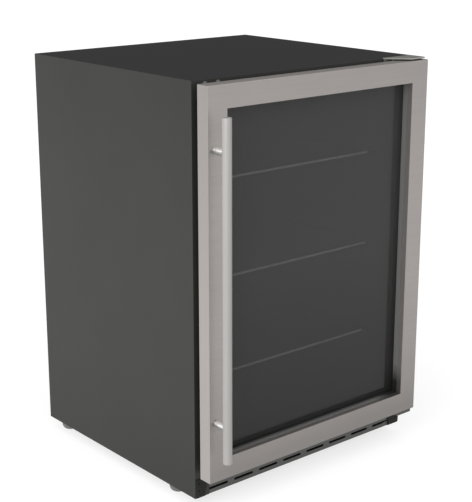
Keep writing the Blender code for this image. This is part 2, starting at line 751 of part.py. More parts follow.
def make_bushes(skin, core):
    """Flanged plastic bushes that turn on the hinge pins, each in a pocket in the door."""
    bushes = []
    for level, edge, away in (("upper", DOOR_TOP, 1), ("lower", DOOR_BOTTOM, -1)):
        seat = edge + away * GAP
        rim = seat + away * BUSH_RIMS[level]
        tail = seat - away * BUSH_LENGTH
        profile = [(BUSH_BORE, rim), (BUSH_FLANGE, rim), (BUSH_FLANGE, seat), (BUSH_RADIUS, seat),
                   (BUSH_RADIUS, tail), (BUSH_BORE, tail)]
        if away < 0:
            profile.reverse()
        bush = turned("hinge_bush_" + level, profile, at(PIVOT_X, PIVOT_DEPTH, 0), "Z", "black_plastic",
                      24, closed=True)
        pocket = cylinder("bush_pocket_" + level, at(PIVOT_X, PIVOT_DEPTH, edge), BUSH_RADIUS + GAP,
                          2 * BUSH_LENGTH + 4 * BITE)
        cut(skin, pocket)
        cut(core, pocket)
        bushes.append(smooth(bush))
    return bushes


def make_handle():
    """A long round bar on two polished posts, each hollowed at its end to fit the bar."""
    shoulder = BAR_RADIUS - BAR_CHAMFER
    profile = [(0.0, BAR_TOP), (shoulder, BAR_TOP), (BAR_RADIUS, BAR_TOP - BAR_CHAMFER),
               (BAR_RADIUS, BAR_BOTTOM + BAR_CHAMFER), (shoulder, BAR_BOTTOM), (0.0, BAR_BOTTOM)]
    bar = turned("handle_bar", profile, at(BAR_X, BAR_DEPTH, 0), "Z", "handle_steel", 32)
    pieces = [smooth(bar)]
    bar_space = cylinder("bar_space", at(BAR_X, BAR_DEPTH, (BAR_TOP + BAR_BOTTOM) / 2), BAR_RADIUS + GAP,
                         BAR_TOP - BAR_BOTTOM, sides=32)
    root = DOOR_FRONT - GAP
    tip = BAR_DEPTH + POST_TIP
    for level, z in POST_HEIGHTS.items():
        post = cylinder("handle_post_" + level, at(BAR_X, (root + tip) / 2, z), POST_RADIUS, root - tip, "Y",
                        "chrome")
        cut(post, bar_space)
        pieces.append(smooth(post))
    return pieces


# ---------------------------------------------------------------- feet and machinery

def make_feet():
    """Bowl-shaped feet on threaded stems; each one screws down along its own axis."""
    bowl = [(FOOT_BASE_RADIUS + (FOOT_RADIUS - FOOT_BASE_RADIUS) * math.sin(angle),
             FOOT_CURVE * (1 - math.cos(angle)))
            for angle in (math.radians(step) for step in range(0, 91, 15))]
    profile = [(0.0, STEM_TOP), (STEM_RADIUS, STEM_TOP), (STEM_RADIUS, FOOT_HEIGHT),
               (FOOT_RADIUS - FOOT_RIM, FOOT_HEIGHT), (FOOT_RADIUS, FOOT_HEIGHT - FOOT_RIM)]
    profile += list(reversed(bowl))
    profile.append((0.0, 0.0))
    for end, depth in FOOT_DEPTHS.items():
        for side, sign in (("left", -1), ("right", 1)):
            foot = turned(f"foot_{end}_{side}", profile, at(sign * FOOT_X, depth, 0), "Z", "foot_plastic")
            smooth(foot)


def make_rotor(name, centre, radius, thickness, kind):
    """A fan rotor: a hub with twisted flat blades, joined into one solid. Its origin is on its axis."""
    hub_radius = radius * HUB_RATIO
    inner = hub_radius * 0.80
    rotor = cylinder(name, centre, hub_radius, thickness, "Y", kind)
    pitch = Matrix.Rotation(BLADE_PITCH, 4, "X")
    reach = Matrix.Translation(((radius + inner) / 2, 0, 0))
    for index in range(FAN_BLADES):
        bm = bmesh.new()
        bmesh.ops.create_cube(bm, size=1.0)
        bmesh.ops.scale(bm, vec=(radius - inner, BLADE_THICKNESS, radius * BLADE_RATIO), verts=bm.verts)
        spin = Matrix.Rotation(2 * math.pi * index / FAN_BLADES, 4, "Y")
        bmesh.ops.transform(bm, matrix=spin @ reach @ pitch, verts=bm.verts)
        blade = add_object(f"{name}_blade_{index + 1}", finish_mesh(bm, name + "_blade"), centre)
        join(rotor, blade)
    return rotor


def make_condenser():
    """Finned condenser, fan ring, rotor and motor in a line behind the duct under the floor."""
    x, z = CONDENSER_FAN
    xs = (x - CONDENSER_HALF, x + CONDENSER_HALF)
    front = CONDENSER_FRONT
    condenser = box("condenser", xs, (front, front + CONDENSER_DEPTH), CONDENSER_Z, "aluminium")
    groove_zs = (CONDENSER_Z[0] + FIN_BORDER, CONDENSER_Z[1] - FIN_BORDER)
    for index in range(FIN_COUNT):
        groove_x = x + FIN_PITCH * (index - (FIN_COUNT - 1) / 2)
        groove = box(f"condenser_groove_{index + 1}", (groove_x - FIN_GROOVE / 2, groove_x + FIN_GROOVE / 2),
                     (front - REACH, front + FIN_DEPTH), groove_zs)
        cut(condenser, groove)
    shroud = box("condenser_fan_shroud", xs, SHROUD_DEPTHS, CONDENSER_Z, "black_plastic")
    middle = sum(SHROUD_DEPTHS) / 2
    throat = cylinder("shroud_throat", at(x, middle, z), CONDENSER_FAN_RADIUS + SHROUD_CLEARANCE,
                      3 * REACH, "Y", sides=32)
    cut(shroud, throat)
    make_rotor("condenser_fan_rotor", at(x, ROTOR_DEPTH, z), CONDENSER_FAN_RADIUS, ROTOR_THICKNESS,
               "black_plastic")
    depth, radius, length = CONDENSER_MOTOR
    motor = cylinder("condenser_fan_motor", at(x, depth, z), radius, length, "Y", "zinc")
    smooth(motor)


def make_compressor():
    """Hermetic compressor: a rounded pot on a foot plate, and the drip tray beside it."""
    x, depth = COMPRESSOR_CENTRE
    low = PAN_Z[1] + GAP
    plate_top = low + PLATE_THICKNESS
    radius = COMPRESSOR_RADIUS
    dome = COMPRESSOR_DOME
    bottom = plate_top - BITE
    profile = [(0.0, COMPRESSOR_TOP)]
    profile += [(radius - dome + dome * math.sin(a), COMPRESSOR_TOP - dome + dome * math.cos(a))
                for a in (math.radians(step) for step in range(0, 91, 15))]
    profile += [(radius, plate_top + COMPRESSOR_WAIST), (radius - COMPRESSOR_FOOT, bottom), (0.0, bottom)]
    pot = turned("compressor", profile, at(x, depth, 0), "Z", "compressor_black", 28)
    plate = box("compressor_plate", (x - PLATE_HALF[0], x + PLATE_HALF[0]),
                (depth - PLATE_HALF[1], depth + PLATE_HALF[1]), (low, plate_top))
    core_top = COMPRESSOR_TOP - 1.5 * COMPRESSOR_WALL
    core = cylinder("compressor_core", at(x, depth, core_top / 2), radius - COMPRESSOR_WALL, core_top,
                    sides=28)
    join(pot, plate)
    cut(pot, core)
    smooth(pot)
    tray_bottom = low + BITE
    tray = box("drip_tray", TRAY_XS, TRAY_DEPTHS, (tray_bottom, tray_bottom + TRAY_HEIGHT), "black_plastic")
    basin = box("tray_basin", (TRAY_XS[0] + TRAY_WALL, TRAY_XS[1] - TRAY_WALL),
                (TRAY_DEPTHS[0] + TRAY_WALL, TRAY_DEPTHS[1] - TRAY_WALL),
                (tray_bottom + TRAY_WALL, tray_bottom + TRAY_HEIGHT + REACH))
    cut(tray, basin)


def make_discharge_pipe():
    """Copper pipe that leaves the compressor's side and bends into the condenser's side."""
    clear = 0.0006
    end_depth, end_z = PIPE_END
    start = Vector((COMPRESSOR_CENTRE[0] - COMPRESSOR_RADIUS - clear, COMPRESSOR_CENTRE[1], PIPE_START_Z))
    end = Vector((CONDENSER_FAN[0] + CONDENSER_HALF + clear, end_depth, end_z))
    reach = (start.x - end.x) * 0.5
    out = start - Vector((reach, 0, 0))
    back = end + Vector((reach, 0, 0))
    curve = bpy.data.curves.new("discharge_pipe", "CURVE")
    curve.dimensions = "3D"
    curve.bevel_depth = PIPE_RADIUS
    curve.bevel_resolution = 2
    curve.use_fill_caps = True
    spline = curve.splines.new("POLY")
    spline.points.add(PIPE_POINTS)
    for index, point in enumerate(spline.points):
        t = index / PIPE_POINTS
        s = 1 - t
        spot = s ** 3 * start + 3 * s * s * t * out + 3 * s * t * t * back + t ** 3 * end
        point.co = (spot.x, spot.y, spot.z, 1.0)
    pipe = curve_to_mesh("discharge_pipe", curve, Matrix.Translation((0, FRONT_Y, 0)), "copper")
    smooth(pipe)


def make_evaporator():
    """Cold coil, fan and motor on the back wall, behind a slotted cover."""
    evaporator = box("evaporator", (-EVAPORATOR_HALF, EVAPORATOR_HALF), EVAPORATOR_DEPTHS, EVAPORATOR_Z,
                     "aluminium")
    groove_depths = (EVAPORATOR_DEPTHS[0] - REACH, EVAPORATOR_DEPTHS[1] - COIL_BORDER)
    groove_zs = (EVAPORATOR_Z[0] + COIL_BORDER, EVAPORATOR_Z[1] - COIL_BORDER)
    for index in range(COIL_COUNT):
        x = COIL_PITCH * (index - (COIL_COUNT - 1) / 2)
        groove = box(f"evaporator_groove_{index + 1}", (x - COIL_GROOVE / 2, x + COIL_GROOVE / 2),
                     groove_depths, groove_zs)
        cut(evaporator, groove)
    wall = LINER_WALL
    cover = box("evaporator_cover", (-COVER_HALF, COVER_HALF), (COVER_FRONT, CAVITY_BACK - GAP), COVER_Z,
                "liner_plastic")
    hollow = box("cover_hollow", (wall - COVER_HALF, COVER_HALF - wall),
                 (COVER_FRONT + wall, CAVITY_BACK + REACH), (COVER_Z[0] + wall, COVER_Z[1] - wall))
    cut(cover, hollow)
    through = (COVER_FRONT - REACH / 2, COVER_FRONT + REACH / 2)
    for index in range(-3, 4):
        rise = COVER_SLOT_PITCH * index
        length = 2 * math.sqrt(EVAPORATOR_FAN_RADIUS ** 2 - rise ** 2)
        outlet = prism(f"outlet_slot_{index + 4}", stadium(0, EVAPORATOR_FAN_Z + rise, length, OUTLET_SLOT),
                       through, "XZ")
        intake = prism(f"intake_slot_{index + 4}", stadium(0, INTAKE_Z + rise, *INTAKE_SLOT), through, "XZ")
        cut(cover, outlet, intake)
    make_rotor("evaporator_fan_rotor", at(0, EVAPORATOR_ROTOR_DEPTH, EVAPORATOR_FAN_Z), EVAPORATOR_FAN_RADIUS,
               EVAPORATOR_ROTOR_THICKNESS, "black_plastic")
    depth, radius, length = EVAPORATOR_MOTOR
    motor = cylinder("evaporator_fan_motor", at(0, depth, EVAPORATOR_FAN_Z), radius, length, "Y", "zinc")
    smooth(motor)


def make_controls():
    """Control box and light strip under the ceiling, and the thermostat knob below the box."""
    ceiling = CAVITY_TOP - GAP
    case = box("control_box", (-CONTROL_HALF, CONTROL_HALF), CONTROL_DEPTHS, (CONTROL_BOTTOM, ceiling),
               "black_plastic")
    light = box("light_strip", (-LIGHT_HALF, LIGHT_HALF), LIGHT_DEPTHS, (LIGHT_BOTTOM, ceiling), "lens")
    bevel(case, CASE_EDGE)
    bevel(light, CASE_EDGE)
    top = CONTROL_BOTTOM - GAP
    bottom = top - KNOB_HEIGHT
    profile = [(0.0, top), (KNOB_RADIUS, top), (KNOB_RADIUS, top - KNOB_SKIRT),
               (KNOB_RADIUS - KNOB_TAPER, bottom), (0.0, bottom)]
    knob = turned("thermostat_knob", profile, at(KNOB_X, KNOB_DEPTH, 0), "Z", "black_plastic")
    pointer = box("knob_pointer", (KNOB_X - POINTER_HALF, KNOB_X + POINTER_HALF),
                  (KNOB_DEPTH - KNOB_RADIUS - 0.0015, KNOB_DEPTH), (bottom - BITE, bottom + 3 * BITE))
    join(knob, pointer)
    smooth(knob)


clear_scene()
parts = new_collection(OBJECT_NAME)
cutters = new_collection("cutters")

make_outer_wrapper()
make_back()
make_base_pan()
make_liner()
make_foam()
make_grille()
make_corner_blocks()
make_hinges()
make_shelves()
make_feet()
make_condenser()
make_compressor()
make_discharge_pipe()
make_evaporator()
make_controls()

door_pivot = bpy.data.objects.new("door_pivot", None)
door_pivot.location = at(PIVOT_X, PIVOT_DEPTH, 0)
parts.objects.link(door_pivot)
hold(make_door(), door_pivot)
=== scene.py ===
"""Looks for the glass door merchandiser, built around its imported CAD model.

Metres, +Z up; the door faces -Y. Places come from the CAD nodes' boxes.
"""
import math

import bmesh
import bpy
from mathutils import Matrix, Vector


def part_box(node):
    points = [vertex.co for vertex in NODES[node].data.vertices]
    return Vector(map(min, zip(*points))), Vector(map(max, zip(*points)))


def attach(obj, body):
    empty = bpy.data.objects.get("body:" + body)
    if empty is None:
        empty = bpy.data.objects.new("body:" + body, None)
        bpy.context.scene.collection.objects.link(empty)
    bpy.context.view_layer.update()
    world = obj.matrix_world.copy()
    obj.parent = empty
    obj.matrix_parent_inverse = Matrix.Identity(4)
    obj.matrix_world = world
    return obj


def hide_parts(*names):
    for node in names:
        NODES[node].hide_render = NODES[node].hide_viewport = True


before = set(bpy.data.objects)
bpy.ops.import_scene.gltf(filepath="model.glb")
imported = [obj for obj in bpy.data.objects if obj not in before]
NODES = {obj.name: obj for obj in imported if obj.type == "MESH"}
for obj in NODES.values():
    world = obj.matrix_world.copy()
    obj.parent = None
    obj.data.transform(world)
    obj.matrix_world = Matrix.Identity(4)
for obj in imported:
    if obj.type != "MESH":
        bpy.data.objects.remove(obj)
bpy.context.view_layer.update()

SHARP = math.radians(32)

# Camera, matched to the photograph's viewing angle.
CAMERA_PLACE = (-1.676, -1.982, 1.181)
CAMERA_AZIMUTH = 40.22
CAMERA_ELEVATION = 15.95
CAMERA_LENS = 88.1

# Studio sky: its two brightnesses, the side that is dim, and how far round the change runs.
SKY_BRIGHT = 1.55
SKY_DIM = 0.25
DIM_SIDE = (0.63, 0.74, 0.24)
DIM_SPAN = (0.15, 0.85)
# White paper gives way to sky over this rise above the horizon.
HORIZON = (0.02, 0.12)
PAPER_GLOW = 0.72
KEY_PLACE = (-2.7, -1.3, 1.9)
KEY_TARGET = (0.0, 0.0, 0.40)
KEY_SIZE = 1.6
KEY_POWER = 32

# Linear colours.
CHARCOAL = (0.0265, 0.0275, 0.0236)
# Painted shade: the cabinet's top is painted near black, darker than its sides because of how the light
# falls.
TOP_PAINTED_SHADE = (0.007, 0.007, 0.007)
STEEL = (0.310, 0.289, 0.276)
HANDLE_STEEL = (0.325, 0.313, 0.304)
GRILLE_GREY = (0.092, 0.094, 0.089)
HINGE_GREY = (0.300, 0.300, 0.280)
GLAZING_GREY = (0.260, 0.260, 0.250)
BLACK = (0.012, 0.012, 0.012)
LINER = (0.012, 0.012, 0.012)
FOOT_GREY = (0.120, 0.123, 0.113)
ZINC = (0.480, 0.490, 0.500)
ALUMINIUM = (0.620, 0.630, 0.640)
COPPER = (0.720, 0.330, 0.190)

# How far a face's normal leans along an axis before it counts as facing up, or left or forward.
FACES_UP = (0.6, 0.9)
FACES_BACK = (-0.9, -0.6)

# Door face: its brightness at a run of heights, as the studio falls on it, and from left to right.
STEEL_RANGE = (0.60, 1.10)
STEEL_LEVELS = ((0.09, 0.69), (0.15, 0.85), (0.25, 0.95), (0.40, 1.02), (0.60, 1.02), (0.75, 0.97),
                (0.85, 0.91))
DOOR_SPAN = (-0.29, 0.29)
DOOR_GAINS = (1.04, 0.965)
# Painted light on the door's left edges, from their lower heights to their upper ones.
EDGE_HEIGHTS = (0.35, 0.86)
EDGE_GAINS = (1.22, 1.00)
# Shade in the window's lower hinge-side corner, measured as X - Z, and how far it reaches.
WINDOW_CORNER = 0.113
CORNER_FADE = (0.050, 0.008)
CORNER_GAIN = 0.45
# Cabinet sides: painted light, brightest at mid height.
SIDE_RANGE = (0.77, 1.02)
SIDE_LEVELS = ((0.03, 0.0), (0.22, 0.75), (0.42, 1.0), (0.62, 0.75), (0.866, 0.05))
# Handle tube, from its left side to its right.
HANDLE_LEAN = (-0.9, 0.7)
HANDLE_GAINS = (1.10, 0.72)

FORWARD = Vector((0, -1, 0))
BACKWARD = Vector((0, 1, 0))


# ---------------------------------------------------------------- materials

class Shader:
    """A Principled material with short helpers for its procedural inputs."""

    def __init__(self, name, colour, roughness, metallic=0.0):
        self.name = name
        self.material = bpy.data.materials.new(name)
        self.material.use_nodes = True
        self.tree = self.material.node_tree
        self.bsdf = self.tree.nodes["Principled BSDF"]
        self.bsdf.inputs["Base Color"].default_value = (*colour, 1.0)
        self.bsdf.inputs["Roughness"].default_value = roughness
        self.bsdf.inputs["Metallic"].default_value = metallic
        self.coords = self.tree.nodes.new("ShaderNodeTexCoord")
        self.height = None

    def set(self, **values):
        """Set plain values on the material, each named as its socket."""
        for name, value in values.items():
            self.bsdf.inputs[name.replace("_", " ")].default_value = value
        return self

    def node(self, kind, **inputs):
        """Add a node, with each input linked from a socket or set to a plain value."""
        made = self.tree.nodes.new(kind)
        for name, value in inputs.items():
            key = name.replace("_", " ")
            if isinstance(value, bpy.types.NodeSocket):
                self.tree.links.new(value, made.inputs[key])
            else:
                made.inputs[key].default_value = value
        return made

    def noise(self, stretch, detail=3.0, roughness=0.55):
        """Noise whose frequency along each axis, in cycles per metre, is stretch."""
        mapping = self.node("ShaderNodeMapping", Vector=self.coords.outputs["Object"], Scale=stretch)
        made = self.node("ShaderNodeTexNoise", Vector=mapping.outputs["Vector"], Scale=1.0, Detail=detail,
                         Roughness=roughness)
        return made.outputs["Fac"]

    def place(self, axis):
        """The shaded point's place along one axis, in metres."""
        return self.node("ShaderNodeSeparateXYZ", Vector=self.coords.outputs["Object"]).outputs[axis]

    def facing(self, axis):
        """How far the surface faces along one axis, from -1 to 1."""
        return self.node("ShaderNodeSeparateXYZ", Vector=self.coords.outputs["Normal"]).outputs[axis]

    def ramp(self, value, stops):
        """Read a plain number off a run of (value, level) stops; levels lie between 0 and 1."""
        start, end = stops[0][0], stops[-1][0]
        made = self.tree.nodes.new("ShaderNodeValToRGB")
        self.tree.links.new(self.between(value, 0.0, 1.0, start, end), made.inputs["Fac"])
        marks = made.color_ramp.elements
        marks[0].color = (*grey(stops[0][1]), 1.0)
        marks[1].color = (*grey(stops[-1][1]), 1.0)
        for at, level in stops[1:-1]:
            marks.new((at - start) / (end - start)).color = (*grey(level), 1.0)
        return made.outputs["Color"]

    def upward(self):
        """1 on faces that face up, 0 on the rest."""
        return self.between(self.facing("Z"), 0.0, 1.0, *FACES_UP)

    def corner_shade(self):
        """1 in the window's lower hinge-side corner, fading to 0 away from it."""
        along = self.node("ShaderNodeMath")
        along.operation = "SUBTRACT"
        self.tree.links.new(self.place("X"), along.inputs[0])
        self.tree.links.new(self.place("Z"), along.inputs[1])
        start, end = (WINDOW_CORNER - reach for reach in CORNER_FADE)
        return self.between(along.outputs["Value"], 0.0, 1.0, start, end)

    def voronoi(self, scale):
        """Cells that repeat scale times a metre."""
        made = self.node("ShaderNodeTexVoronoi", Vector=self.coords.outputs["Object"], Scale=scale)
        return made.outputs["Distance"]

    def between(self, factor, low, high, start=0.3, end=0.7):
        """Map a factor between start and end on to a range of plain numbers."""
        made = self.tree.nodes.new("ShaderNodeMapRange")
        self.tree.links.new(factor, made.inputs["Value"])
        made.inputs["From Min"].default_value = start
        made.inputs["From Max"].default_value = end
        made.inputs["To Min"].default_value = low
        made.inputs["To Max"].default_value = high
        return made.outputs["Result"]

    def mix(self, factor, first, second):
        """Mix two colours, each a triple or a socket."""
        made = self.tree.nodes.new("ShaderNodeMix")
        made.data_type = "RGBA"
        self.tree.links.new(factor, made.inputs["Factor"])
        for slot, value in (("A", first), ("B", second)):
            socket = [s for s in made.inputs if s.name == slot and s.type == "RGBA"][0]
            if isinstance(value, bpy.types.NodeSocket):
                self.tree.links.new(value, socket)
            else:
                socket.default_value = (*value, 1.0)
        return [s for s in made.outputs if s.type == "RGBA"][0]

    def multiply(self, first, second):
        """Multiply one colour socket by another."""
        made = self.tree.nodes.new("ShaderNodeMix")
        made.data_type = "RGBA"
        made.blend_type = "MULTIPLY"
        made.clamp_result = False
        made.inputs["Factor"].default_value = 1.0
        pair = [s for s in made.inputs if s.type == "RGBA"]
        self.tree.links.new(first, pair[0])
        self.tree.links.new(second, pair[1])
        return [s for s in made.outputs if s.type == "RGBA"][0]

    def tint(self):
        """The socket that colours the material so far."""
        return self.bsdf.inputs["Base Color"].links[0].from_socket

    def colour(self, socket):
        """Colour the material from a socket."""
        self.tree.links.new(socket, self.bsdf.inputs["Base Color"])
        return self

    def rough(self, socket):
        """Take the material's roughness from a socket."""
        self.tree.links.new(socket, self.bsdf.inputs["Roughness"])
        return self

    def bump(self, factor, distance, strength=0.5):
        """Raise the surface by a factor, on top of any bump before it."""
        made = self.node("ShaderNodeBump", Height=factor, Distance=distance, Strength=strength)
        if self.height:
            self.tree.links.new(self.height, made.inputs["Normal"])
        self.height = made.outputs["Normal"]
        self.tree.links.new(self.height, self.bsdf.inputs["Normal"])
        return self


def shade(colour, gain):
    """The same colour, brighter or darker."""
    return tuple(min(1.0, channel * gain) for channel in colour)


def grey(level):
    return (level, level, level)


def brushed(name, colour, grain, roughness=0.34, contrast=0.10, metallic=1.0):
    """Brushed metal with fine lines along its grain."""
    made = Shader(name, colour, roughness, metallic)
    lines = made.noise(grain, 2.0)
    coarse = made.noise(tuple(g / 4 for g in grain), 3.0)
    cloud = made.noise((7, 7, 7), 2.0)
    tint = made.mix(made.between(lines, 0.0, 1.0), shade(colour, 1 - contrast), shade(colour, 1 + contrast))
    made.colour(made.mix(made.between(cloud, 0.0, 0.35), tint, shade(colour, 0.93)))
    made.rough(made.between(coarse, roughness - 0.05, roughness + 0.06))
    return made.bump(lines, distance=0.00006, strength=0.25)


def door_steel():
    """Brushed door skin, painted light and shade: darker at its foot and to its right, its left edges
    brighter, its window's lower corner in shade.
    """
    made = brushed("stainless", STEEL, grain=(9, 900, 900), roughness=0.42, contrast=0.05, metallic=0.75)
    floor, ceiling = STEEL_RANGE
    stops = [(height, (level - floor) / (ceiling - floor)) for height, level in STEEL_LEVELS]
    gain = made.mix(made.ramp(made.place("Z"), stops), grey(floor), grey(ceiling))
    across = made.mix(made.between(made.place("X"), 0.0, 1.0, *DOOR_SPAN), *(grey(g) for g in DOOR_GAINS))
    front = made.multiply(made.multiply(made.tint(), gain), across)
    rise = made.between(made.place("Z"), 0.0, 1.0, *EDGE_HEIGHTS)
    left = made.mix(rise, *(shade(STEEL, g) for g in EDGE_GAINS))
    lit = made.mix(made.between(made.facing("X"), 1.0, 0.0, *FACES_BACK), front, left)
    inward = made.between(made.facing("Y"), 0.0, 1.0, *FACES_BACK)
    shaded = made.multiply(lit, made.mix(made.corner_shade(), grey(1.0), grey(CORNER_GAIN)))
    return made.colour(made.mix(inward, lit, shaded))


def handle_finish():
    """Satin tube: its grain runs upright, and it is brighter towards the light on the left."""
    made = brushed("handle_steel", HANDLE_STEEL, grain=(700, 700, 10), roughness=0.46, contrast=0.04,
                   metallic=0.45)
    round_it = made.between(made.facing("X"), 0.0, 1.0, *HANDLE_LEAN)
    return made.colour(made.multiply(made.tint(), made.mix(round_it, *(grey(g) for g in HANDLE_GAINS))))


def grille_steel():
    """Brushed dark sheet whose slots and folded lip fall into shade."""
    made = brushed("grille_steel", GRILLE_GREY, grain=(12, 700, 700), roughness=0.42)
    return made.colour(made.mix(made.upward(), made.tint(), BLACK))


def powder_paint(name, colour, roughness=0.46):
    """Baked paint with fine orange peel and a faint bloom of handling."""
    made = Shader(name, colour, roughness)
    made.set(Specular_IOR_Level=0.25)
    peel = made.noise((420, 420, 420), 2.0)
    cloud = made.noise((5, 5, 5), 3.0)
    made.colour(made.mix(made.between(cloud, 0.0, 1.0), shade(colour, 0.93), shade(colour, 1.08)))
    made.rough(made.between(cloud, roughness - 0.05, roughness + 0.06))
    return made.bump(peel, distance=0.00010, strength=0.35)


def cabinet_paint():
    """Charcoal sides, painted lighter at mid height, and a top painted blacker as shade and made coarser,
    told apart by which way the surface faces.
    """
    made = powder_paint("cabinet_paint", CHARCOAL)
    cloud = made.noise((5, 5, 5), 3.0)
    flat = made.mix(made.between(cloud, 0.0, 1.0), shade(CHARCOAL, 0.94), shade(CHARCOAL, 1.07))
    # Painted light: the sides lighter at mid height.
    middle = made.ramp(made.place("Z"), SIDE_LEVELS)
    sides = made.multiply(flat, made.mix(middle, *(grey(g) for g in SIDE_RANGE)))
    made.rough(made.between(made.upward(), 0.46, 0.72, 0.0, 1.0))
    return made.colour(made.mix(made.upward(), sides, TOP_PAINTED_SHADE))


def glazing_paint():
    """Grey paint with painted shade: its sill, facing up, darker towards the glass, its other faces darker,
    the lower corner darkest.
    """
    made = powder_paint("glazing_grey", GLAZING_GREY, 0.5)
    low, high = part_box("glazing_frame")
    forward = made.between(made.place("Y"), 0.0, 1.0, high.y, low.y)
    sill = made.mix(forward, shade(GLAZING_GREY, 0.11), shade(GLAZING_GREY, 0.50))
    tint = made.mix(made.upward(), shade(GLAZING_GREY, 0.54), sill)
    return made.colour(made.mix(made.corner_shade(), tint, shade(GLAZING_GREY, 0.05)))


def moulded(name, colour, roughness=0.55, grain=1500, specular=0.5):
    """Moulded plastic with a fine spark-eroded grain."""
    made = Shader(name, colour, roughness)
    made.set(Specular_IOR_Level=specular)
    grit = made.noise((grain, grain, grain), 2.0)
    cloud = made.noise((30, 30, 30), 2.0)
    made.colour(made.mix(made.between(cloud, 0.0, 1.0), shade(colour, 0.88), shade(colour, 1.12)))
    made.rough(made.between(grit, roughness - 0.08, roughness + 0.08))
    return made.bump(grit, distance=0.00008, strength=0.4)


def pane(name, colour, alpha, specular, painted_shade_heights=None):
    """Tinted plate glass with a faint film; where heights are given, painted shade darkens it below them."""
    made = Shader(name, colour, 0.03)
    made.set(Alpha=alpha, IOR=1.5, Specular_IOR_Level=specular)
    film = made.noise((9, 9, 9), 3.0)
    made.rough(made.between(film, 0.015, 0.06))
    if painted_shade_heights:
        made.colour(made.mix(made.between(made.place("Z"), 0.0, 1.0, *painted_shade_heights), shade(colour, 0.4), colour))
    return made


def polished(name, colour, roughness):
    """Polished metal with a painted reflection: light on its upper side for the bright studio above, dark
    below for the door's steel.
    """
    made = Shader(name, colour, roughness, metallic=0.55)
    haze = made.noise((260, 260, 260), 2.0)
    made.rough(made.between(haze, roughness * 0.7, roughness * 1.3))
    above = made.mix(made.between(haze, 0.0, 1.0), shade(colour, 0.96), colour)
    rising = made.between(made.facing("Z"), 0.0, 1.0, 0.05, 0.40)
    return made.colour(made.mix(rising, shade(colour, 0.42), above))


def plated(name, colour, roughness=0.38):
    """Zinc or bare sheet metal with a faint mottle."""
    made = Shader(name, colour, roughness, metallic=0.9)
    mottle = made.voronoi(160)
    cloud = made.noise((40, 40, 40), 3.0)
    made.colour(made.mix(made.between(mottle, 0.0, 0.6, 0.0, 0.6), colour, shade(colour, 0.82)))
    made.rough(made.between(cloud, roughness - 0.08, roughness + 0.10))
    return made.bump(cloud, distance=0.00010, strength=0.3)


def lens_plastic():
    """Milky plastic with fine ribs across its length."""
    made = Shader("lens_plastic", (0.84, 0.84, 0.80), 0.32)
    ribs = made.noise((900, 20, 20), 1.0)
    made.colour(made.mix(made.between(ribs, 0.0, 1.0), (0.78, 0.78, 0.74), (0.88, 0.88, 0.84)))
    return made.bump(ribs, distance=0.0002, strength=0.5)


FINISHES = (
    cabinet_paint(),
    powder_paint("panel_paint", CHARCOAL),
    powder_paint("compressor_black", BLACK, roughness=0.34),
    door_steel(),
    handle_finish(),
    grille_steel(),
    glazing_paint(),
    lens_plastic(),
    polished("chrome", (0.72, 0.71, 0.70), roughness=0.24),
    plated("hinge_steel", HINGE_GREY, roughness=0.36),
    plated("copper", COPPER, roughness=0.30),
    plated("zinc", ZINC),
    # Painted shade: the base pan's zinc, darkened almost to black as the shade seen through the grille's
    # slots.
    plated("zinc_in_painted_shade", grey(0.05), roughness=0.7),
    brushed("shelf_trim", grey(0.90), grain=(12, 800, 800), roughness=0.5, contrast=0.04, metallic=0.5),
    brushed("aluminium", ALUMINIUM, grain=(300, 300, 30), contrast=0.08),
    moulded("black_plastic", BLACK),
    moulded("soft_black", (0.013, 0.0135, 0.012), roughness=0.6, grain=1200, specular=0.12),
    moulded("cap_plastic", (0.095, 0.098, 0.088), roughness=0.5, grain=1200, specular=0.3),
    moulded("black_rubber", grey(0.010), roughness=0.72, grain=900),
    moulded("liner_plastic", LINER, roughness=0.6, grain=700),
    moulded("foot_plastic", FOOT_GREY, roughness=0.50, grain=900),
    moulded("foam", (0.70, 0.62, 0.42), roughness=0.90, grain=500),
    # Painted shade: the door glass darker towards its foot.
    pane("door_glass", grey(0.040), alpha=0.50, specular=0.38, painted_shade_heights=(0.10, 0.50)),
    pane("inner_glass", grey(0.004), alpha=0.12, specular=0.5),
    pane("shelf_glass", (0.03, 0.045, 0.04), alpha=0.14, specular=0.3),
)
MATERIALS = {made.name: made.material for made in FINISHES}


# ---------------------------------------------------------------- pieces

def dress(node, material, edge=0.0, segments=2):
    """Give a CAD node its finish, and round its edges with modifiers where it has room."""
    ob = NODES[node]
    ob.data.materials.clear()
    ob.data.materials.append(MATERIALS[material])
    weld = ob.modifiers.new("weld", "WELD")
    weld.merge_threshold = 0.00001
    if edge:
        soften = ob.modifiers.new("edges", "BEVEL")
        soften.width = edge
        soften.segments = segments
        soften.limit_method = "ANGLE"
        soften.angle_limit = SHARP
        even = ob.modifiers.new("even", "WEIGHTED_NORMAL")
        even.weight = 100
    return ob


def piece(name, bm, body, material, replaces=(), sharp=SHARP):
    """Finish a mesh made in code, and let it ride on its CAD body."""
    mesh = bpy.data.meshes.new(name)
    bmesh.ops.recalc_face_normals(bm, faces=bm.faces)
    bm.to_mesh(mesh)
    bm.free()
    mesh.materials.append(MATERIALS[material])
    mesh.shade_smooth()
    mesh.set_sharp_from_angle(angle=sharp)
    ob = bpy.data.objects.new(name, mesh)
    bpy.context.scene.collection.objects.link(ob)
    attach(ob, body)
    if replaces:
        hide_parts(*replaces)
    return ob


def join_rings(bm, first, second):
    """Faces between two rings of points, either of which may be a single point."""
    steps = max(len(first), len(second))
    for step in range(steps if steps > 1 else 0):
        after = (step + 1) % steps
        if len(first) == 1:
            bm.faces.new((first[0], second[step], second[after]))
        elif len(second) == 1:
            bm.faces.new((first[step], second[0], first[after]))
        else:
            bm.faces.new((first[step], second[step], second[after], first[after]))


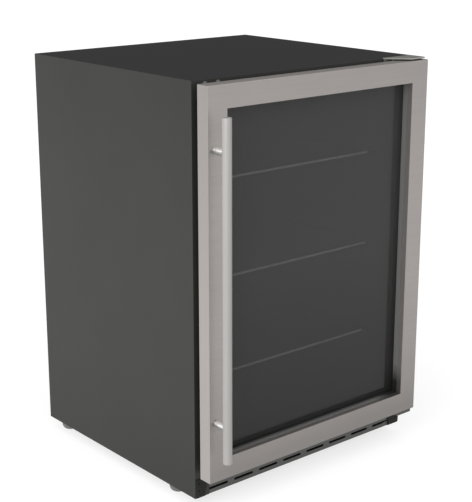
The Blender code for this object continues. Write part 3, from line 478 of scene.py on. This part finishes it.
def join_run(bm, rings, closed=False):
    """Faces along a run of rings, which may close on itself."""
    followers = rings[1:] + rings[:1] if closed else rings[1:]
    for first, second in zip(rings, followers):
        join_rings(bm, first, second)


def circle(bm, place, radius, height, steps):
    """A ring of points round a turned shape's axis."""
    angles = [2 * math.pi * step / steps for step in range(steps)]
    points = [Vector((radius * math.cos(a), radius * math.sin(a), height)) for a in angles]
    return [bm.verts.new(place @ point) for point in points]


def lathe(profile, centre, axis="Z", steps=64, bm=None, closed=False):
    """Turn a run of (radius, height) points that starts and ends on the axis, or closes on itself."""
    bm = bm or bmesh.new()
    turn = Matrix.Rotation(-math.pi / 2, 4, "X") if axis == "Y" else Matrix()
    place = Matrix.Translation(centre) @ turn
    join_run(bm, [circle(bm, place, r, h, steps if r > 1e-6 else 1) for r, h in profile], closed)
    return bm


def block(bm, low, high, edge=0.0, segments=2):
    """Add a box with rounded edges between two corners."""
    made = bmesh.ops.create_cube(bm, size=1.0)["verts"]
    size = Vector(high) - Vector(low)
    centre = (Vector(high) + Vector(low)) / 2
    bmesh.ops.scale(bm, vec=size, verts=made)
    bmesh.ops.translate(bm, vec=centre, verts=made)
    if edge:
        edges = list({e for v in made for e in v.link_edges})
        bmesh.ops.bevel(bm, geom=edges, offset=edge, segments=segments, profile=0.5, affect="EDGES")
    return bm


def tube(bm, path, radius, sides=12):
    """Sweep a circle along a run of points, and close both ends."""
    points = [Vector(p) for p in path]
    side = None
    rings = []
    for index, point in enumerate(points):
        ahead = points[min(index + 1, len(points) - 1)] - points[max(index - 1, 0)]
        ahead.normalize()
        if side is None:
            side = ahead.orthogonal().normalized()
        side = (side - ahead * side.dot(ahead)).normalized()
        up = ahead.cross(side)
        angles = [2 * math.pi * step / sides for step in range(sides)]
        rings.append([bm.verts.new(point + radius * (math.cos(a) * side + math.sin(a) * up)) for a in angles])
    join_run(bm, rings)
    bm.faces.new(list(reversed(rings[0])))
    bm.faces.new(rings[-1])
    return bm


def arc_points(centre, radius, start, end, count):
    """(radius, height) points on an arc, angles in degrees."""
    angles = [math.radians(start + (end - start) * step / count) for step in range(count + 1)]
    return [(centre[0] + radius * math.cos(a), centre[1] + radius * math.sin(a)) for a in angles]


def sweep_rectangle(bm, profile, low, high):
    """Carry a closed profile of (inset, y) points round the rectangle between two corners."""
    corners = []
    for inset, y in profile:
        corners.append([
            bm.verts.new((low.x + inset, y, low.z + inset)),
            bm.verts.new((high.x - inset, y, low.z + inset)),
            bm.verts.new((high.x - inset, y, high.z - inset)),
            bm.verts.new((low.x + inset, y, high.z - inset)),
        ])
    join_run(bm, corners, closed=True)
    return bm


def slab(bm, outline, low, high):
    """Raise a flat (x, z) outline between two depths."""
    near = [bm.verts.new((x, low, z)) for x, z in outline]
    far = [bm.verts.new((x, high, z)) for x, z in outline]
    bm.faces.new(near)
    bm.faces.new(list(reversed(far)))
    join_rings(bm, near, far)
    return bm


def ribbed(bm, centre, radius, depth, low, high, count=32):
    """A closed upright cylinder whose side is fluted."""
    ring = []
    steps = count * 4
    for step in range(steps):
        angle = 2 * math.pi * step / steps
        reach = radius - depth * (0.5 + 0.5 * math.cos(angle * count))
        ring.append((centre[0] + reach * math.cos(angle), centre[1] + reach * math.sin(angle)))
    bottom = [bm.verts.new((x, y, low)) for x, y in ring]
    top = [bm.verts.new((x, y, high)) for x, y in ring]
    bm.faces.new(list(reversed(bottom)))
    bm.faces.new(top)
    join_rings(bm, bottom, top)
    return bm


def screw_head(bm, seat, radius, height, out, rings=14, steps=48):
    """A pan-head screw seen along out, with a cross sunk into its crown."""
    across = out.orthogonal().normalized()
    upward = out.cross(across)
    arm, reach, sink = radius * 0.17, radius * 0.62, height * 0.55
    crown, shoulder, slope = 0.35, 0.30, 0.6

    def around(share):
        """(u, v) points round the head at a share of its radius; one point at the middle."""
        angles = [2 * math.pi * step / steps for step in range(steps if share else 1)]
        return [(radius * share * math.cos(a), radius * share * math.sin(a)) for a in angles]

    loops = []
    for ring in range(rings + 1):
        share = ring / rings
        loop = []
        for u, v in around(share):
            lift = height * (1.0 - crown * share ** 2) if share < 1 else height * shoulder
            if (abs(u) < arm and abs(v) < reach) or (abs(v) < arm and abs(u) < reach):
                lift -= sink * (1.0 - slope * max(abs(u), abs(v)) / reach)
            loop.append(bm.verts.new(seat + u * across + v * upward + lift * out))
        loops.append(loop)
    loops.append([bm.verts.new(seat + u * across + v * upward) for u, v in around(1.0)])
    join_run(bm, loops)
    bm.faces.new(list(reversed(loops[-1])))
    return bm


def stadium(x, z, length, height, steps=6):
    """Round-ended slot outline centred on (x, z), counter-clockwise from its right end."""
    half, radius = (length - height) / 2, height / 2
    right = arc_points((x + half, z), radius, -90, 90, steps)
    return right + arc_points((x - half, z), radius, 90, 270, steps)


def rim(bm, outline, width, low, high):
    """A raised lip of the given width round a slot's outline, between two depths."""
    centre_x = sum(x for x, _ in outline) / len(outline)
    centre_z = sum(z for _, z in outline) / len(outline)
    count = len(outline)
    normals = []
    for index in range(count):
        before, after = outline[index - 1], outline[(index + 1) % count]
        normal = Vector((after[1] - before[1], before[0] - after[0])).normalized()
        if normal.dot(Vector((outline[index][0] - centre_x, outline[index][1] - centre_z))) < 0:
            normal.negate()
        normals.append(normal)
    loops = []
    for grow, y in ((0.0, low), (width, low), (width * 0.7, high), (width * 0.3, high)):
        points = [(x + n.x * grow, y, z + n.y * grow) for (x, z), n in zip(outline, normals)]
        loops.append([bm.verts.new(point) for point in points])
    join_run(bm, loops, closed=True)
    return bm


# ---------------------------------------------------------------- cabinet

def make_cabinet():
    """Finishes for the cabinet's CAD nodes that no piece replaces."""
    dress("outer_wrapper", "cabinet_paint", 0.0003)
    dress("back_panel", "panel_paint", 0.0002)
    dress("rear_cover", "panel_paint", 0.0002)
    # Painted shade on the base pan, dark as the shade behind the grille's slots.
    dress("base_pan", "zinc_in_painted_shade", 0.0002)
    dress("insulation_foam", "foam")
    dress("inner_liner", "liner_plastic", 0.0004)
    dress("front_grille", "grille_steel", 0.0002)
    for side in ("left", "right"):
        dress("corner_block_" + side, "soft_black", 0.0008, 3)
    dress("upper_hinge", "hinge_steel", 0.0004)
    dress("lower_hinge", "grille_steel", 0.0004)
    for level in (1, 2, 3):
        dress(f"shelf_glass_{level}", "shelf_glass", 0.0008)
        dress(f"shelf_trim_{level}", "shelf_trim", 0.0002)
    dress("evaporator_cover", "liner_plastic", 0.0003)
    dress("control_box", "black_plastic", 0.0003)
    dress("condenser_fan_shroud", "black_plastic", 0.0005)
    dress("drip_tray", "black_plastic", 0.0004)


def make_hinge_screws():
    """Two pan-head screws with a cross recess in each hinge."""
    for level in ("upper", "lower"):
        for index in (1, 2):
            node = f"hinge_screw_{level}_{index}"
            low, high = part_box(node)
            seat = Vector(((low.x + high.x) / 2, high.y, (low.z + high.z) / 2))
            bm = screw_head(bmesh.new(), seat, (high.x - low.x) / 2, high.y - low.y, FORWARD)
            piece(f"screw_{level}_{index}", bm, "cabinet", "zinc", [node])


def make_caps():
    """Domed plugs with a sunk ring, in the spare hinge holes."""
    shares = ((0.0, 0.0), (1.0, 0.0), (1.0, 0.35), (0.86, 0.62), (0.62, 0.70), (0.55, 0.92), (0.35, 1.0),
              (0.0, 1.0))
    for index in (1, 2):
        node = f"hole_cap_{index}"
        low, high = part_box(node)
        radius, thick = (high.x - low.x) / 2, high.y - low.y
        profile = [(radius * across, -thick * up) for across, up in shares]
        bm = lathe(profile, ((low.x + high.x) / 2, high.y, (low.z + high.z) / 2), "Y", 40)
        piece(f"cap_{index}", bm, "cabinet", "cap_plastic", [node])


def make_back_screws():
    """Small screws round the back panel and round the cover below it."""
    low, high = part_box("back_panel")
    radius, height = 0.0032, 0.0006
    row = (-0.27, -0.135, 0.0, 0.135, 0.27)
    rows = (
        (high.z - 0.011, row),
        (0.52, (-0.287, 0.287)),
        (low.z + 0.010, (-0.27, 0.0, 0.27)),
        (low.z - 0.010, row),
        (0.040, (-0.27, -0.135, 0.0, 0.135, 0.20)),
    )
    bm = bmesh.new()
    for z, places in rows:
        for x in places:
            screw_head(bm, Vector((x, high.y, z)), radius, height, BACKWARD, 10, 32)
    piece("back_screws", bm, "cabinet", "zinc")


def make_back():
    """Pressed stiffening ribs on the back panel, and drawn lips round the cover's louvres."""
    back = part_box("back_panel")[1].y
    bm = bmesh.new()
    lowest, pitch, length, height = 0.29, 0.10, 0.46, 0.024
    for row in range(6):
        rim(bm, stadium(0.0, lowest + pitch * row, length, height), 0.006, back, back + 0.0006)
    piece("back_ribs", bm, "cabinet", "panel_paint")
    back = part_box("rear_cover")[1].y
    bm = bmesh.new()
    lowest, pitch, length, height = 0.070, 0.013, 0.1506, 0.0056
    for row in range(8):
        for x in (-0.135, 0.115):
            rim(bm, stadium(x, lowest + pitch * row, length, height), 0.0022, back, back + 0.0007)
    piece("louvre_lips", bm, "cabinet", "panel_paint")


def make_gland():
    """The lead's gland: a neck, a flange and a rounded mouth round an open bore."""
    low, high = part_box("cord_gland")
    outer, bore = (high.x - low.x) / 2, 0.0037
    neck, lip = outer * 0.86, outer * 0.90
    length = high.y - low.y
    loop = [(bore, 0.0), (neck, 0.0), (neck, length - 0.0046), (outer, length - 0.0040),
            (outer, length - 0.0012), (lip, length - 0.0002), (bore + 0.0018, length),
            (bore + 0.0004, length - 0.0010), (bore, length - 0.0026)]
    centre = ((low.x + high.x) / 2, low.y, (low.z + high.z) / 2)
    bm = lathe(loop, centre, "Y", 48, closed=True)
    piece("gland_ring", bm, "cabinet", "black_rubber", ["cord_gland"])


# ---------------------------------------------------------------- machinery and cold parts

def blade_sheets(bm, centre, radius, hub, thick, base, blades, along=10, across=8):
    """The two faces of one swept and twisted blade, as rows of points."""
    root, width, sweep, overlap = hub * 0.92, 0.55, 0.34, 1.35
    sheets = []
    for face in (-1, 1):
        rows = []
        for i in range(along + 1):
            share = i / along
            reach = root + (radius - root) * share
            wide = (width + 0.16 * math.sin(math.pi * share)) * overlap * 2 * math.pi / blades
            row = []
            for j in range(across + 1):
                chord = j / across - 0.5
                angle = base + sweep * share ** 1.5 + chord * wide
                lift = thick * (0.10 * (1 - 4 * chord ** 2) - chord * (0.86 - 0.30 * share))
                gauge = 0.0007 * (1.15 - share) * (1 - 3.2 * chord ** 4) + 0.0002
                row.append(bm.verts.new((centre.x + reach * math.cos(angle), centre.y + lift + face * gauge,
                                         centre.z + reach * math.sin(angle))))
            rows.append(row)
        sheets.append(rows)
        for i in range(along):
            for j in range(across):
                quad = (rows[i][j], rows[i + 1][j], rows[i + 1][j + 1], rows[i][j + 1])
                bm.faces.new(quad if face < 0 else tuple(reversed(quad)))
    return sheets


def make_rotor(node, name, motor, blades):
    """Moulded axial fan: a domed hub with swept, twisted blades that thin towards their tips."""
    low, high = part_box(node)
    motor_low, motor_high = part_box(motor)
    axle = (motor_low + motor_high) / 2
    centre = Vector((axle.x, (low.y + high.y) / 2, axle.z))
    radius = max(high.x - centre.x, high.z - centre.z) - 0.0004
    thick = high.y - low.y
    hub, half = radius * 0.30, thick / 2
    bm = bmesh.new()
    profile = [(0.0, -half), (hub * 0.90, -half), (hub, -half + 0.001), (hub, half * 0.4)]
    profile += [(hub * 0.92, half * 0.78), (hub * 0.70, half * 0.96), (hub * 0.30, half), (0.0, half)]
    lathe([(r, -h) for r, h in profile], centre, "Y", 48, bm)
    for blade in range(blades):
        rear, front = blade_sheets(bm, centre, radius, hub, thick, 2 * math.pi * blade / blades, blades)
        last_row, last_column = len(rear) - 1, len(rear[0]) - 1
        edge = [(i, 0) for i in range(last_row + 1)]
        edge += [(last_row, j) for j in range(1, last_column + 1)]
        edge += [(i, last_column) for i in range(last_row - 1, -1, -1)]
        edge += [(0, j) for j in range(last_column - 1, 0, -1)]
        join_rings(bm, [rear[i][j] for i, j in edge], [front[i][j] for i, j in edge])
    piece(name, bm, node.replace("_rotor", ""), "black_plastic", [node])


def make_motor(node, name):
    """Shaded-pole fan motor: a ribbed can with a stepped end shield and a shaft boss."""
    low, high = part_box(node)
    centre = (low + high) / 2
    radius, length = (high.x - low.x) / 2, high.y - low.y
    shares = [(0.0, 0.0), (0.34, 0.0), (0.34, 0.06), (0.80, 0.07), (0.92, 0.12)]
    for rib in range(5):
        start = 0.20 + 0.13 * rib
        shares += [(1.0, start), (1.0, start + 0.06), (0.93, start + 0.07), (0.93, start + 0.12)]
    shares += [(0.90, 0.90), (0.76, 0.97), (0.30, 1.0), (0.0, 1.0)]
    profile = [(radius * across, length * along) for across, along in shares]
    bm = lathe(profile, (centre.x, low.y, centre.z), "Y", 48)
    piece(name, bm, "cabinet", "zinc", [node])


def serpentine(left, right, y, heights, reach):
    """A pipe's path to and fro between left and right, with a bend of the given reach at each end."""
    path = []
    for row, z in enumerate(heights):
        near, far, side = (left, right, 1) if row % 2 == 0 else (right, left, -1)
        path += [(near, y, z), (far, y, z)]
        if row + 1 < len(heights):
            half = (heights[row + 1] - z) / 2
            angles = [math.pi * k / 8 for k in range(1, 8)]
            path += [(far + side * reach * math.sin(a), y, z + half - half * math.cos(a)) for a in angles]
    return path


def make_coil(node, name, columns, rows, pitch, inset):
    """Finned coil: thin fins across copper tubes, with return bends at both ends and side plates."""
    low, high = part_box(node)
    half_fin, half_plate, radius = 0.00015, 0.0004, 0.0030
    fins = bmesh.new()
    for index in range(int((high.x - low.x - 2 * inset) / pitch) + 1):
        x = low.x + inset + index * pitch
        block(fins, (x - half_fin, low.y + 0.001, low.z + 0.002),
              (x + half_fin, high.y - 0.001, high.z - 0.002))
    for x in (low.x + inset - 0.004, high.x - inset + 0.004):
        block(fins, (x - half_plate, low.y, low.z), (x + half_plate, high.y, high.z), 0.0002, 1)
    piece(name + "_fins", fins, "cabinet", "aluminium", [node])
    tubes = bmesh.new()
    step_y, step_z = (high.y - low.y) / columns, (high.z - low.z) / rows
    heights = [low.z + step_z * (row + 0.5) for row in range(rows)]
    past = inset - 0.005
    reach = min(step_z / 2, past - radius)
    for column in range(columns):
        y = low.y + step_y * (column + 0.5)
        tube(tubes, serpentine(low.x + past, high.x - past, y, heights, reach), radius, 10)
    piece(name + "_tubes", tubes, "cabinet", "copper")


def make_compressor():
    """The welded pot on its foot plate, with its seam, terminal cover, stubs and rubber feet."""
    low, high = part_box("compressor")
    centre = Vector((0.105, (low.y + high.y) / 2, 0))
    radius, dome, heel = 0.066, 0.030, 0.016
    plate_top = low.z + 0.003
    pot = bmesh.new()
    profile = [(0.0, plate_top), (radius - heel, plate_top)]
    profile += arc_points((radius - heel, plate_top + heel), heel, -70, 0, 8)
    profile += arc_points((radius - dome, high.z - dome), dome, 0, 90, 12) + [(0.0, high.z)]
    lathe(profile, centre, steps=72, bm=pot)
    block(pot, (low.x, low.y, low.z), (high.x, high.y, plate_top), 0.0012, 2)
    piece("compressor_pot", pot, "cabinet", "compressor_black", ["compressor"])
    seam_height, bead_out, bead_up = 0.128, 0.0012, 0.0026
    turns = [2 * math.pi * k / 8 for k in range(8)]
    bead = [(radius - 0.0003 + bead_out * math.cos(t), seam_height + bead_up * math.sin(t)) for t in turns]
    seam = lathe(bead, centre, steps=72, closed=True)
    piece("compressor_seam", seam, "cabinet", "compressor_black")
    cover = bmesh.new()
    half, clip, bottom, top = 0.026, 0.006, 0.078, 0.122
    block(cover, (0.166, centre.y - half, bottom), (0.186, centre.y + half, top), 0.004, 4)
    block(cover, (0.1655, centre.y - clip, top), (0.1780, centre.y + clip, top + 0.0035), 0.001, 2)
    piece("terminal_cover", cover, "cabinet", "black_plastic")
    make_compressor_feet(low, high)
    stubs = bmesh.new()
    for offset, height in ((-0.022, 0.030), (0.022, 0.022)):
        start = Vector((centre.x + offset, centre.y - 0.050, 0.148))
        bends = [math.pi / 2 * k / 8 for k in range(9)]
        path = [Vector((0, -0.008 - 0.012 * math.sin(t), 0.8 * height * (1 - math.cos(t)))) for t in bends]
        tube(stubs, [start] + [start + bend for bend in path], 0.003, 12)
    piece("process_stubs", stubs, "cabinet", "copper")


def make_compressor_feet(low, high):
    """A waisted rubber grommet and a hexagon bolt at each corner of the foot plate."""
    inset, seat, bolt_seat = 0.012, 0.0304, 0.0411
    wide, waist = 0.0090, 0.0060
    grommet = [(0.0, 0.0), (wide, 0.0), (wide, 0.0030), (waist, 0.0042), (waist, 0.0060), (0.0085, 0.0072),
               (0.0085, 0.0095), (0.0070, 0.0105), (0.0, 0.0105)]
    bolt = [(0.0, 0.0), (0.0048, 0.0), (0.0048, 0.0026), (0.0040, 0.0034), (0.0, 0.0034)]
    feet, bolts = bmesh.new(), bmesh.new()
    for x in (low.x + inset, high.x - inset):
        for y in (low.y + inset, high.y - inset):
            lathe(grommet, (x, y, seat), steps=32, bm=feet)
            lathe(bolt, (x, y, bolt_seat), steps=6, bm=bolts)
    piece("compressor_grommets", feet, "cabinet", "black_rubber")
    piece("compressor_bolts", bolts, "cabinet", "zinc")


def make_pipe():
    """Smooth discharge pipe from the compressor's side to the condenser's, as one flat S."""
    low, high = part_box("discharge_pipe")
    start = Vector((high.x, 0.2095, 0.120))
    end = Vector((low.x, 0.1395, 0.140))
    reach = Vector(((start.x - end.x) / 2, 0, 0))
    out, back = start - reach, end + reach
    path = []
    for step in range(33):
        t = step / 32
        s = 1 - t
        path.append(s ** 3 * start + 3 * s * s * t * out + 3 * s * t * t * back + t ** 3 * end)
    bm = tube(bmesh.new(), path, 0.00295, 20)
    piece("discharge_tube", bm, "cabinet", "copper", ["discharge_pipe"])


def make_knob():
    """Fluted thermostat knob with its skirt and pointer, and the printed marks round it."""
    low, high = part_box("thermostat_knob")
    centre = Vector((0.030, -0.1305, 0))
    radius = (high.x - low.x) / 2
    skirt, shoulder, grip = high.z - 0.0020, high.z - 0.0028, radius - 0.0022
    bm = bmesh.new()
    lathe([(0.0, high.z), (radius, high.z), (radius, skirt), (radius - 0.0014, shoulder), (0.0, shoulder)],
          centre, bm=bm)
    ribbed(bm, centre, grip, 0.0008, low.z + 0.0016, high.z - 0.0026, 24)
    face, nose = low.z + 0.0018, low.z + 0.0010
    lathe([(0.0, face), (radius - 0.0034, face), (radius - 0.0044, nose), (0.0, nose)],
          centre, steps=48, bm=bm)
    piece("knob_fluted", bm, "thermostat", "black_plastic", ["thermostat_knob"])
    bm = bmesh.new()
    block(bm, (centre.x - 0.0009, low.y + 0.0004, low.z + 0.0001),
          (centre.x + 0.0009, centre.y - 0.002, low.z + 0.0012), 0.0003, 2)
    piece("knob_pointer", bm, "thermostat", "lens_plastic")
    bm = bmesh.new()
    bottom, top = 0.7897, 0.7902
    near = radius + 0.0020
    for step in range(10):
        angle = math.radians(-90 + 30 * step)
        far = near + (0.005 if step % 3 == 0 else 0.003)
        direction = Vector((math.cos(angle), math.sin(angle), 0))
        side = Vector((-direction.y, direction.x, 0)) * 0.0004
        corners = [centre + direction * near - side, centre + direction * near + side,
                   centre + direction * far + side, centre + direction * far - side]
        under = [bm.verts.new((v.x, v.y, bottom)) for v in corners]
        over = [bm.verts.new((v.x, v.y, top)) for v in corners]
        bm.faces.new(under)
        bm.faces.new(list(reversed(over)))
        join_rings(bm, under, over)
    piece("dial_marks", bm, "cabinet", "lens_plastic")


def make_light():
    """Light strip: a lens with fine prisms underneath, between two end caps."""
    low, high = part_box("light_strip")
    prisms, depth, inset = 120, 0.0006, 0.0006
    start, end = low.x + 0.008, high.x - 0.008
    pitch = (end - start) / prisms
    outline = []
    for index in range(prisms):
        x = start + index * pitch
        outline += [(x, low.z + depth), (x + pitch / 2, low.z)]
    outline += [(end, low.z + depth), (end, high.z), (start, high.z)]
    bm = slab(bmesh.new(), outline, low.y + inset, high.y - inset)
    piece("light_lens", bm, "cabinet", "lens_plastic", ["light_strip"], sharp=math.radians(20))
    cap = 0.0078
    bm = bmesh.new()
    for near, far in ((low.x, low.x + cap), (high.x - cap, high.x)):
        block(bm, (near, low.y, low.z), (far, high.y, high.z), 0.0015, 3)
    piece("light_caps", bm, "cabinet", "black_plastic")


def make_cover_details():
    """Raised rings and beads on the evaporator's cover, and its four screws."""
    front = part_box("evaporator_cover")[0].y
    raised = front - 0.0009
    motor_low, motor_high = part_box("evaporator_fan_motor")
    middle = (motor_low + motor_high) / 2
    bm = bmesh.new()
    angles = [2 * math.pi * k / 64 for k in range(64)]
    for radius in (0.050, 0.0535):
        ring = [(middle.x + radius * math.cos(a), middle.z + radius * math.sin(a)) for a in angles]
        rim(bm, ring, 0.0020, front, raised)
    rim(bm, stadium(0.0, 0.360, 0.320, 0.100, 10), 0.0020, front, raised)
    rim(bm, stadium(0.0, 0.515, 0.330, 0.060, 10), 0.0030, front, raised)
    piece("cover_rings", bm, "cabinet", "liner_plastic")
    bm = bmesh.new()
    for x in (-0.188, 0.188):
        for z in (0.312, 0.763):
            screw_head(bm, Vector((x, front, z)), 0.0035, 0.0012, FORWARD, 10, 32)
    piece("cover_screws", bm, "cabinet", "black_plastic")


# ---------------------------------------------------------------- door

def make_gasket():
    """Black bellows gasket: a clipped root, two folds and the flat magnet strip that seals."""
    low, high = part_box("door_gasket")
    root, seal = low.y, high.y
    wide, chamfer = 0.014, 0.0006
    folds = ((0.0020, 0.0), (0.0015, 0.12), (0.0032, 0.30), (0.0006, 0.46), (0.0030, 0.62), (0.0000, 0.74))
    profile = [(inset, root + share * (seal - root)) for inset, share in folds]
    profile += [(0.0, seal - chamfer), (chamfer, seal)]
    mirrored = [(wide - inset, y) for inset, y in reversed(profile)]
    bm = sweep_rectangle(bmesh.new(), profile + mirrored, low, high)
    piece("gasket_bellows", bm, "door", "black_rubber", ["door_gasket"])


def make_handle():
    """Satin tube with softly rounded ends, on two polished posts eased where they meet the door."""
    low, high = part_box("handle_bar")
    centre = (low + high) / 2
    radius = (high.x - low.x) / 2
    edge = 0.0012
    top = arc_points((radius - edge, high.z - edge), edge, 90, 0, 6)
    bottom = arc_points((radius - edge, low.z + edge), edge, 0, -90, 6)
    bm = lathe([(0.0, high.z)] + top + bottom + [(0.0, low.z)], (centre.x, centre.y, 0), steps=96)
    piece("handle_tube", bm, "door", "handle_steel", ["handle_bar"])
    for level in ("upper", "lower"):
        node = "handle_post_" + level
        near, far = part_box(node)
        middle = (near + far) / 2
        size = (far.x - near.x) / 2
        length = far.y - near.y
        fillet = 0.0008
        profile = [(0.0, 0.0), (size - fillet / 2, 0.0)]
        profile += arc_points((size - fillet, fillet), fillet, -30, 0, 4)
        profile += [(size, length), (0.0, length)]
        bm = lathe([(r, -h) for r, h in profile], (middle.x, far.y, middle.z), "Y", 64)
        piece(f"post_{level}", bm, "door", "chrome", [node])


def make_door():
    """Finishes for the door's CAD nodes, then its gasket and handle."""
    dress("door_skin", "stainless", 0.0003)
    dress("door_core", "black_plastic")
    dress("door_backing_frame", "black_plastic", 0.0004)
    dress("glazing_frame", "glazing_grey", 0.0003)
    dress("glass_outer", "door_glass", 0.0005)
    dress("glass_spacer", "black_plastic")
    dress("glass_inner", "inner_glass", 0.0005)
    dress("hinge_bush_upper", "black_plastic")
    dress("hinge_bush_lower", "black_plastic")
    make_gasket()
    make_handle()


# ---------------------------------------------------------------- feet

def make_feet():
    """Levelling feet: a moulded bowl on a threaded stem."""
    lip, rise, top, edge = 0.0012, 0.014, 0.0215, 0.0015
    root, crest, pitch, clear = 0.0034, 0.0040, 0.00125, 0.0003
    for corner in ("front_left", "front_right", "rear_left", "rear_right"):
        node, body = f"foot_{corner}", f"leveller_{corner}"
        low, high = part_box(node)
        middle = (low + high) / 2
        centre = (middle.x, middle.y, 0)
        radius = (high.x - low.x) / 2
        base = radius * 0.64
        bowl = [(base + across * (radius - base), rise + up * rise)
                for across, up in arc_points((0.0, 0.0), 1.0, -90, 0, 12)]
        profile = [(0.0, lip), (base - 0.003, lip), (base - 0.002, 0.0)] + bowl
        profile += arc_points((radius - edge, top - edge), edge, 0, 90, 5) + [(0.009, top), (0.0, top)]
        piece(f"pad_{corner}", lathe(profile, centre), body, "foot_plastic", [node])
        outline = [(0.0, top + clear)]
        for turn in range(int((high.z - top) / pitch)):
            z = top + clear + turn * pitch
            outline += [(root, z), (crest, z + pitch / 2)]
        outline += [(root, high.z - 0.0002), (0.0, high.z - 0.0002)]
        piece(f"stem_{corner}", lathe(outline, centre, steps=24), body, "zinc")


# ---------------------------------------------------------------- stage

def make_stage():
    """A large sheet of white paper, lit a little from behind so that the contact shadows stay faint."""
    bm = bmesh.new()
    bmesh.ops.create_grid(bm, x_segments=2, y_segments=2, size=60.0)
    mesh = bpy.data.meshes.new("floor")
    bm.to_mesh(mesh)
    bm.free()
    floor = bpy.data.objects.new("floor", mesh)
    paint = Shader("floor_paper", (0.30, 0.30, 0.30), 0.9)
    paint.set(Specular_IOR_Level=0.0, Emission_Color=(1.0, 1.0, 1.0, 1.0), Emission_Strength=PAPER_GLOW)
    mesh.materials.append(paint.material)
    bpy.context.scene.collection.objects.link(floor)


def soft_light(name, place, target, size, power):
    """A square lamp that the camera does not see."""
    light = bpy.data.lights.new(name, "AREA")
    light.size = size
    light.energy = power
    ob = bpy.data.objects.new(name, light)
    ob.location = place
    ob.visible_camera = False
    ob.rotation_euler = (Vector(target) - Vector(place)).to_track_quat("-Z", "Y").to_euler()
    bpy.context.scene.collection.objects.link(ob)


def make_lights():
    """A pale studio whose paper sweeps up at the horizon: bright to the front, dim behind to the right."""
    world = bpy.data.worlds.new("studio")
    bpy.context.scene.world = world
    world.use_nodes = True
    tree = world.node_tree
    background = tree.nodes["Background"]
    coords = tree.nodes.new("ShaderNodeTexCoord")
    towards = tree.nodes.new("ShaderNodeVectorMath")
    towards.operation = "DOT_PRODUCT"
    towards.inputs[1].default_value = DIM_SIDE
    tree.links.new(coords.outputs["Generated"], towards.inputs[0])
    ramp = tree.nodes.new("ShaderNodeMapRange")
    ramp.interpolation_type = "SMOOTHSTEP"
    ends = {"From Min": DIM_SPAN[0], "From Max": DIM_SPAN[1], "To Min": SKY_BRIGHT, "To Max": SKY_DIM}
    for name, value in ends.items():
        ramp.inputs[name].default_value = value
    tree.links.new(towards.outputs["Value"], ramp.inputs["Value"])
    split = tree.nodes.new("ShaderNodeSeparateXYZ")
    tree.links.new(coords.outputs["Generated"], split.inputs["Vector"])
    rise = tree.nodes.new("ShaderNodeMapRange")
    rise.inputs["From Min"].default_value, rise.inputs["From Max"].default_value = HORIZON
    tree.links.new(split.outputs["Z"], rise.inputs["Value"])
    tree.links.new(ramp.outputs["Result"], rise.inputs["To Max"])
    rise.inputs["To Min"].default_value = 1.0
    tree.links.new(rise.outputs["Result"], background.inputs["Strength"])
    background.inputs["Color"].default_value = (1.0, 1.0, 1.0, 1.0)
    soft_light("key", KEY_PLACE, KEY_TARGET, KEY_SIZE, KEY_POWER)


def make_camera():
    """A camera on the photograph's side of the object, looking slightly down."""
    data = bpy.data.cameras.new("camera")
    data.lens = CAMERA_LENS
    ob = bpy.data.objects.new("camera", data)
    ob.location = CAMERA_PLACE
    ob.rotation_euler = (math.radians(90 - CAMERA_ELEVATION), 0.0, math.radians(-CAMERA_AZIMUTH))
    bpy.context.scene.collection.objects.link(ob)
    bpy.context.scene.camera = ob


make_camera()
make_cabinet()
make_hinge_screws()
make_caps()
make_back_screws()
make_back()
make_gland()
make_rotor("condenser_fan_rotor", "condenser_blades", "condenser_fan_motor", blades=5)
make_rotor("evaporator_fan_rotor", "evaporator_blades", "evaporator_fan_motor", blades=7)
make_motor("condenser_fan_motor", "condenser_motor_can")
make_motor("evaporator_fan_motor", "evaporator_motor_can")
make_coil("condenser", "condenser", columns=2, rows=7, pitch=0.0024, inset=0.012)
make_coil("evaporator", "evaporator", columns=1, rows=9, pitch=0.0050, inset=0.016)
make_compressor()
make_pipe()
make_knob()
make_light()
make_cover_details()
make_door()
make_feet()
make_stage()
make_lights()
bpy.context.scene.view_settings.view_transform = "Standard"
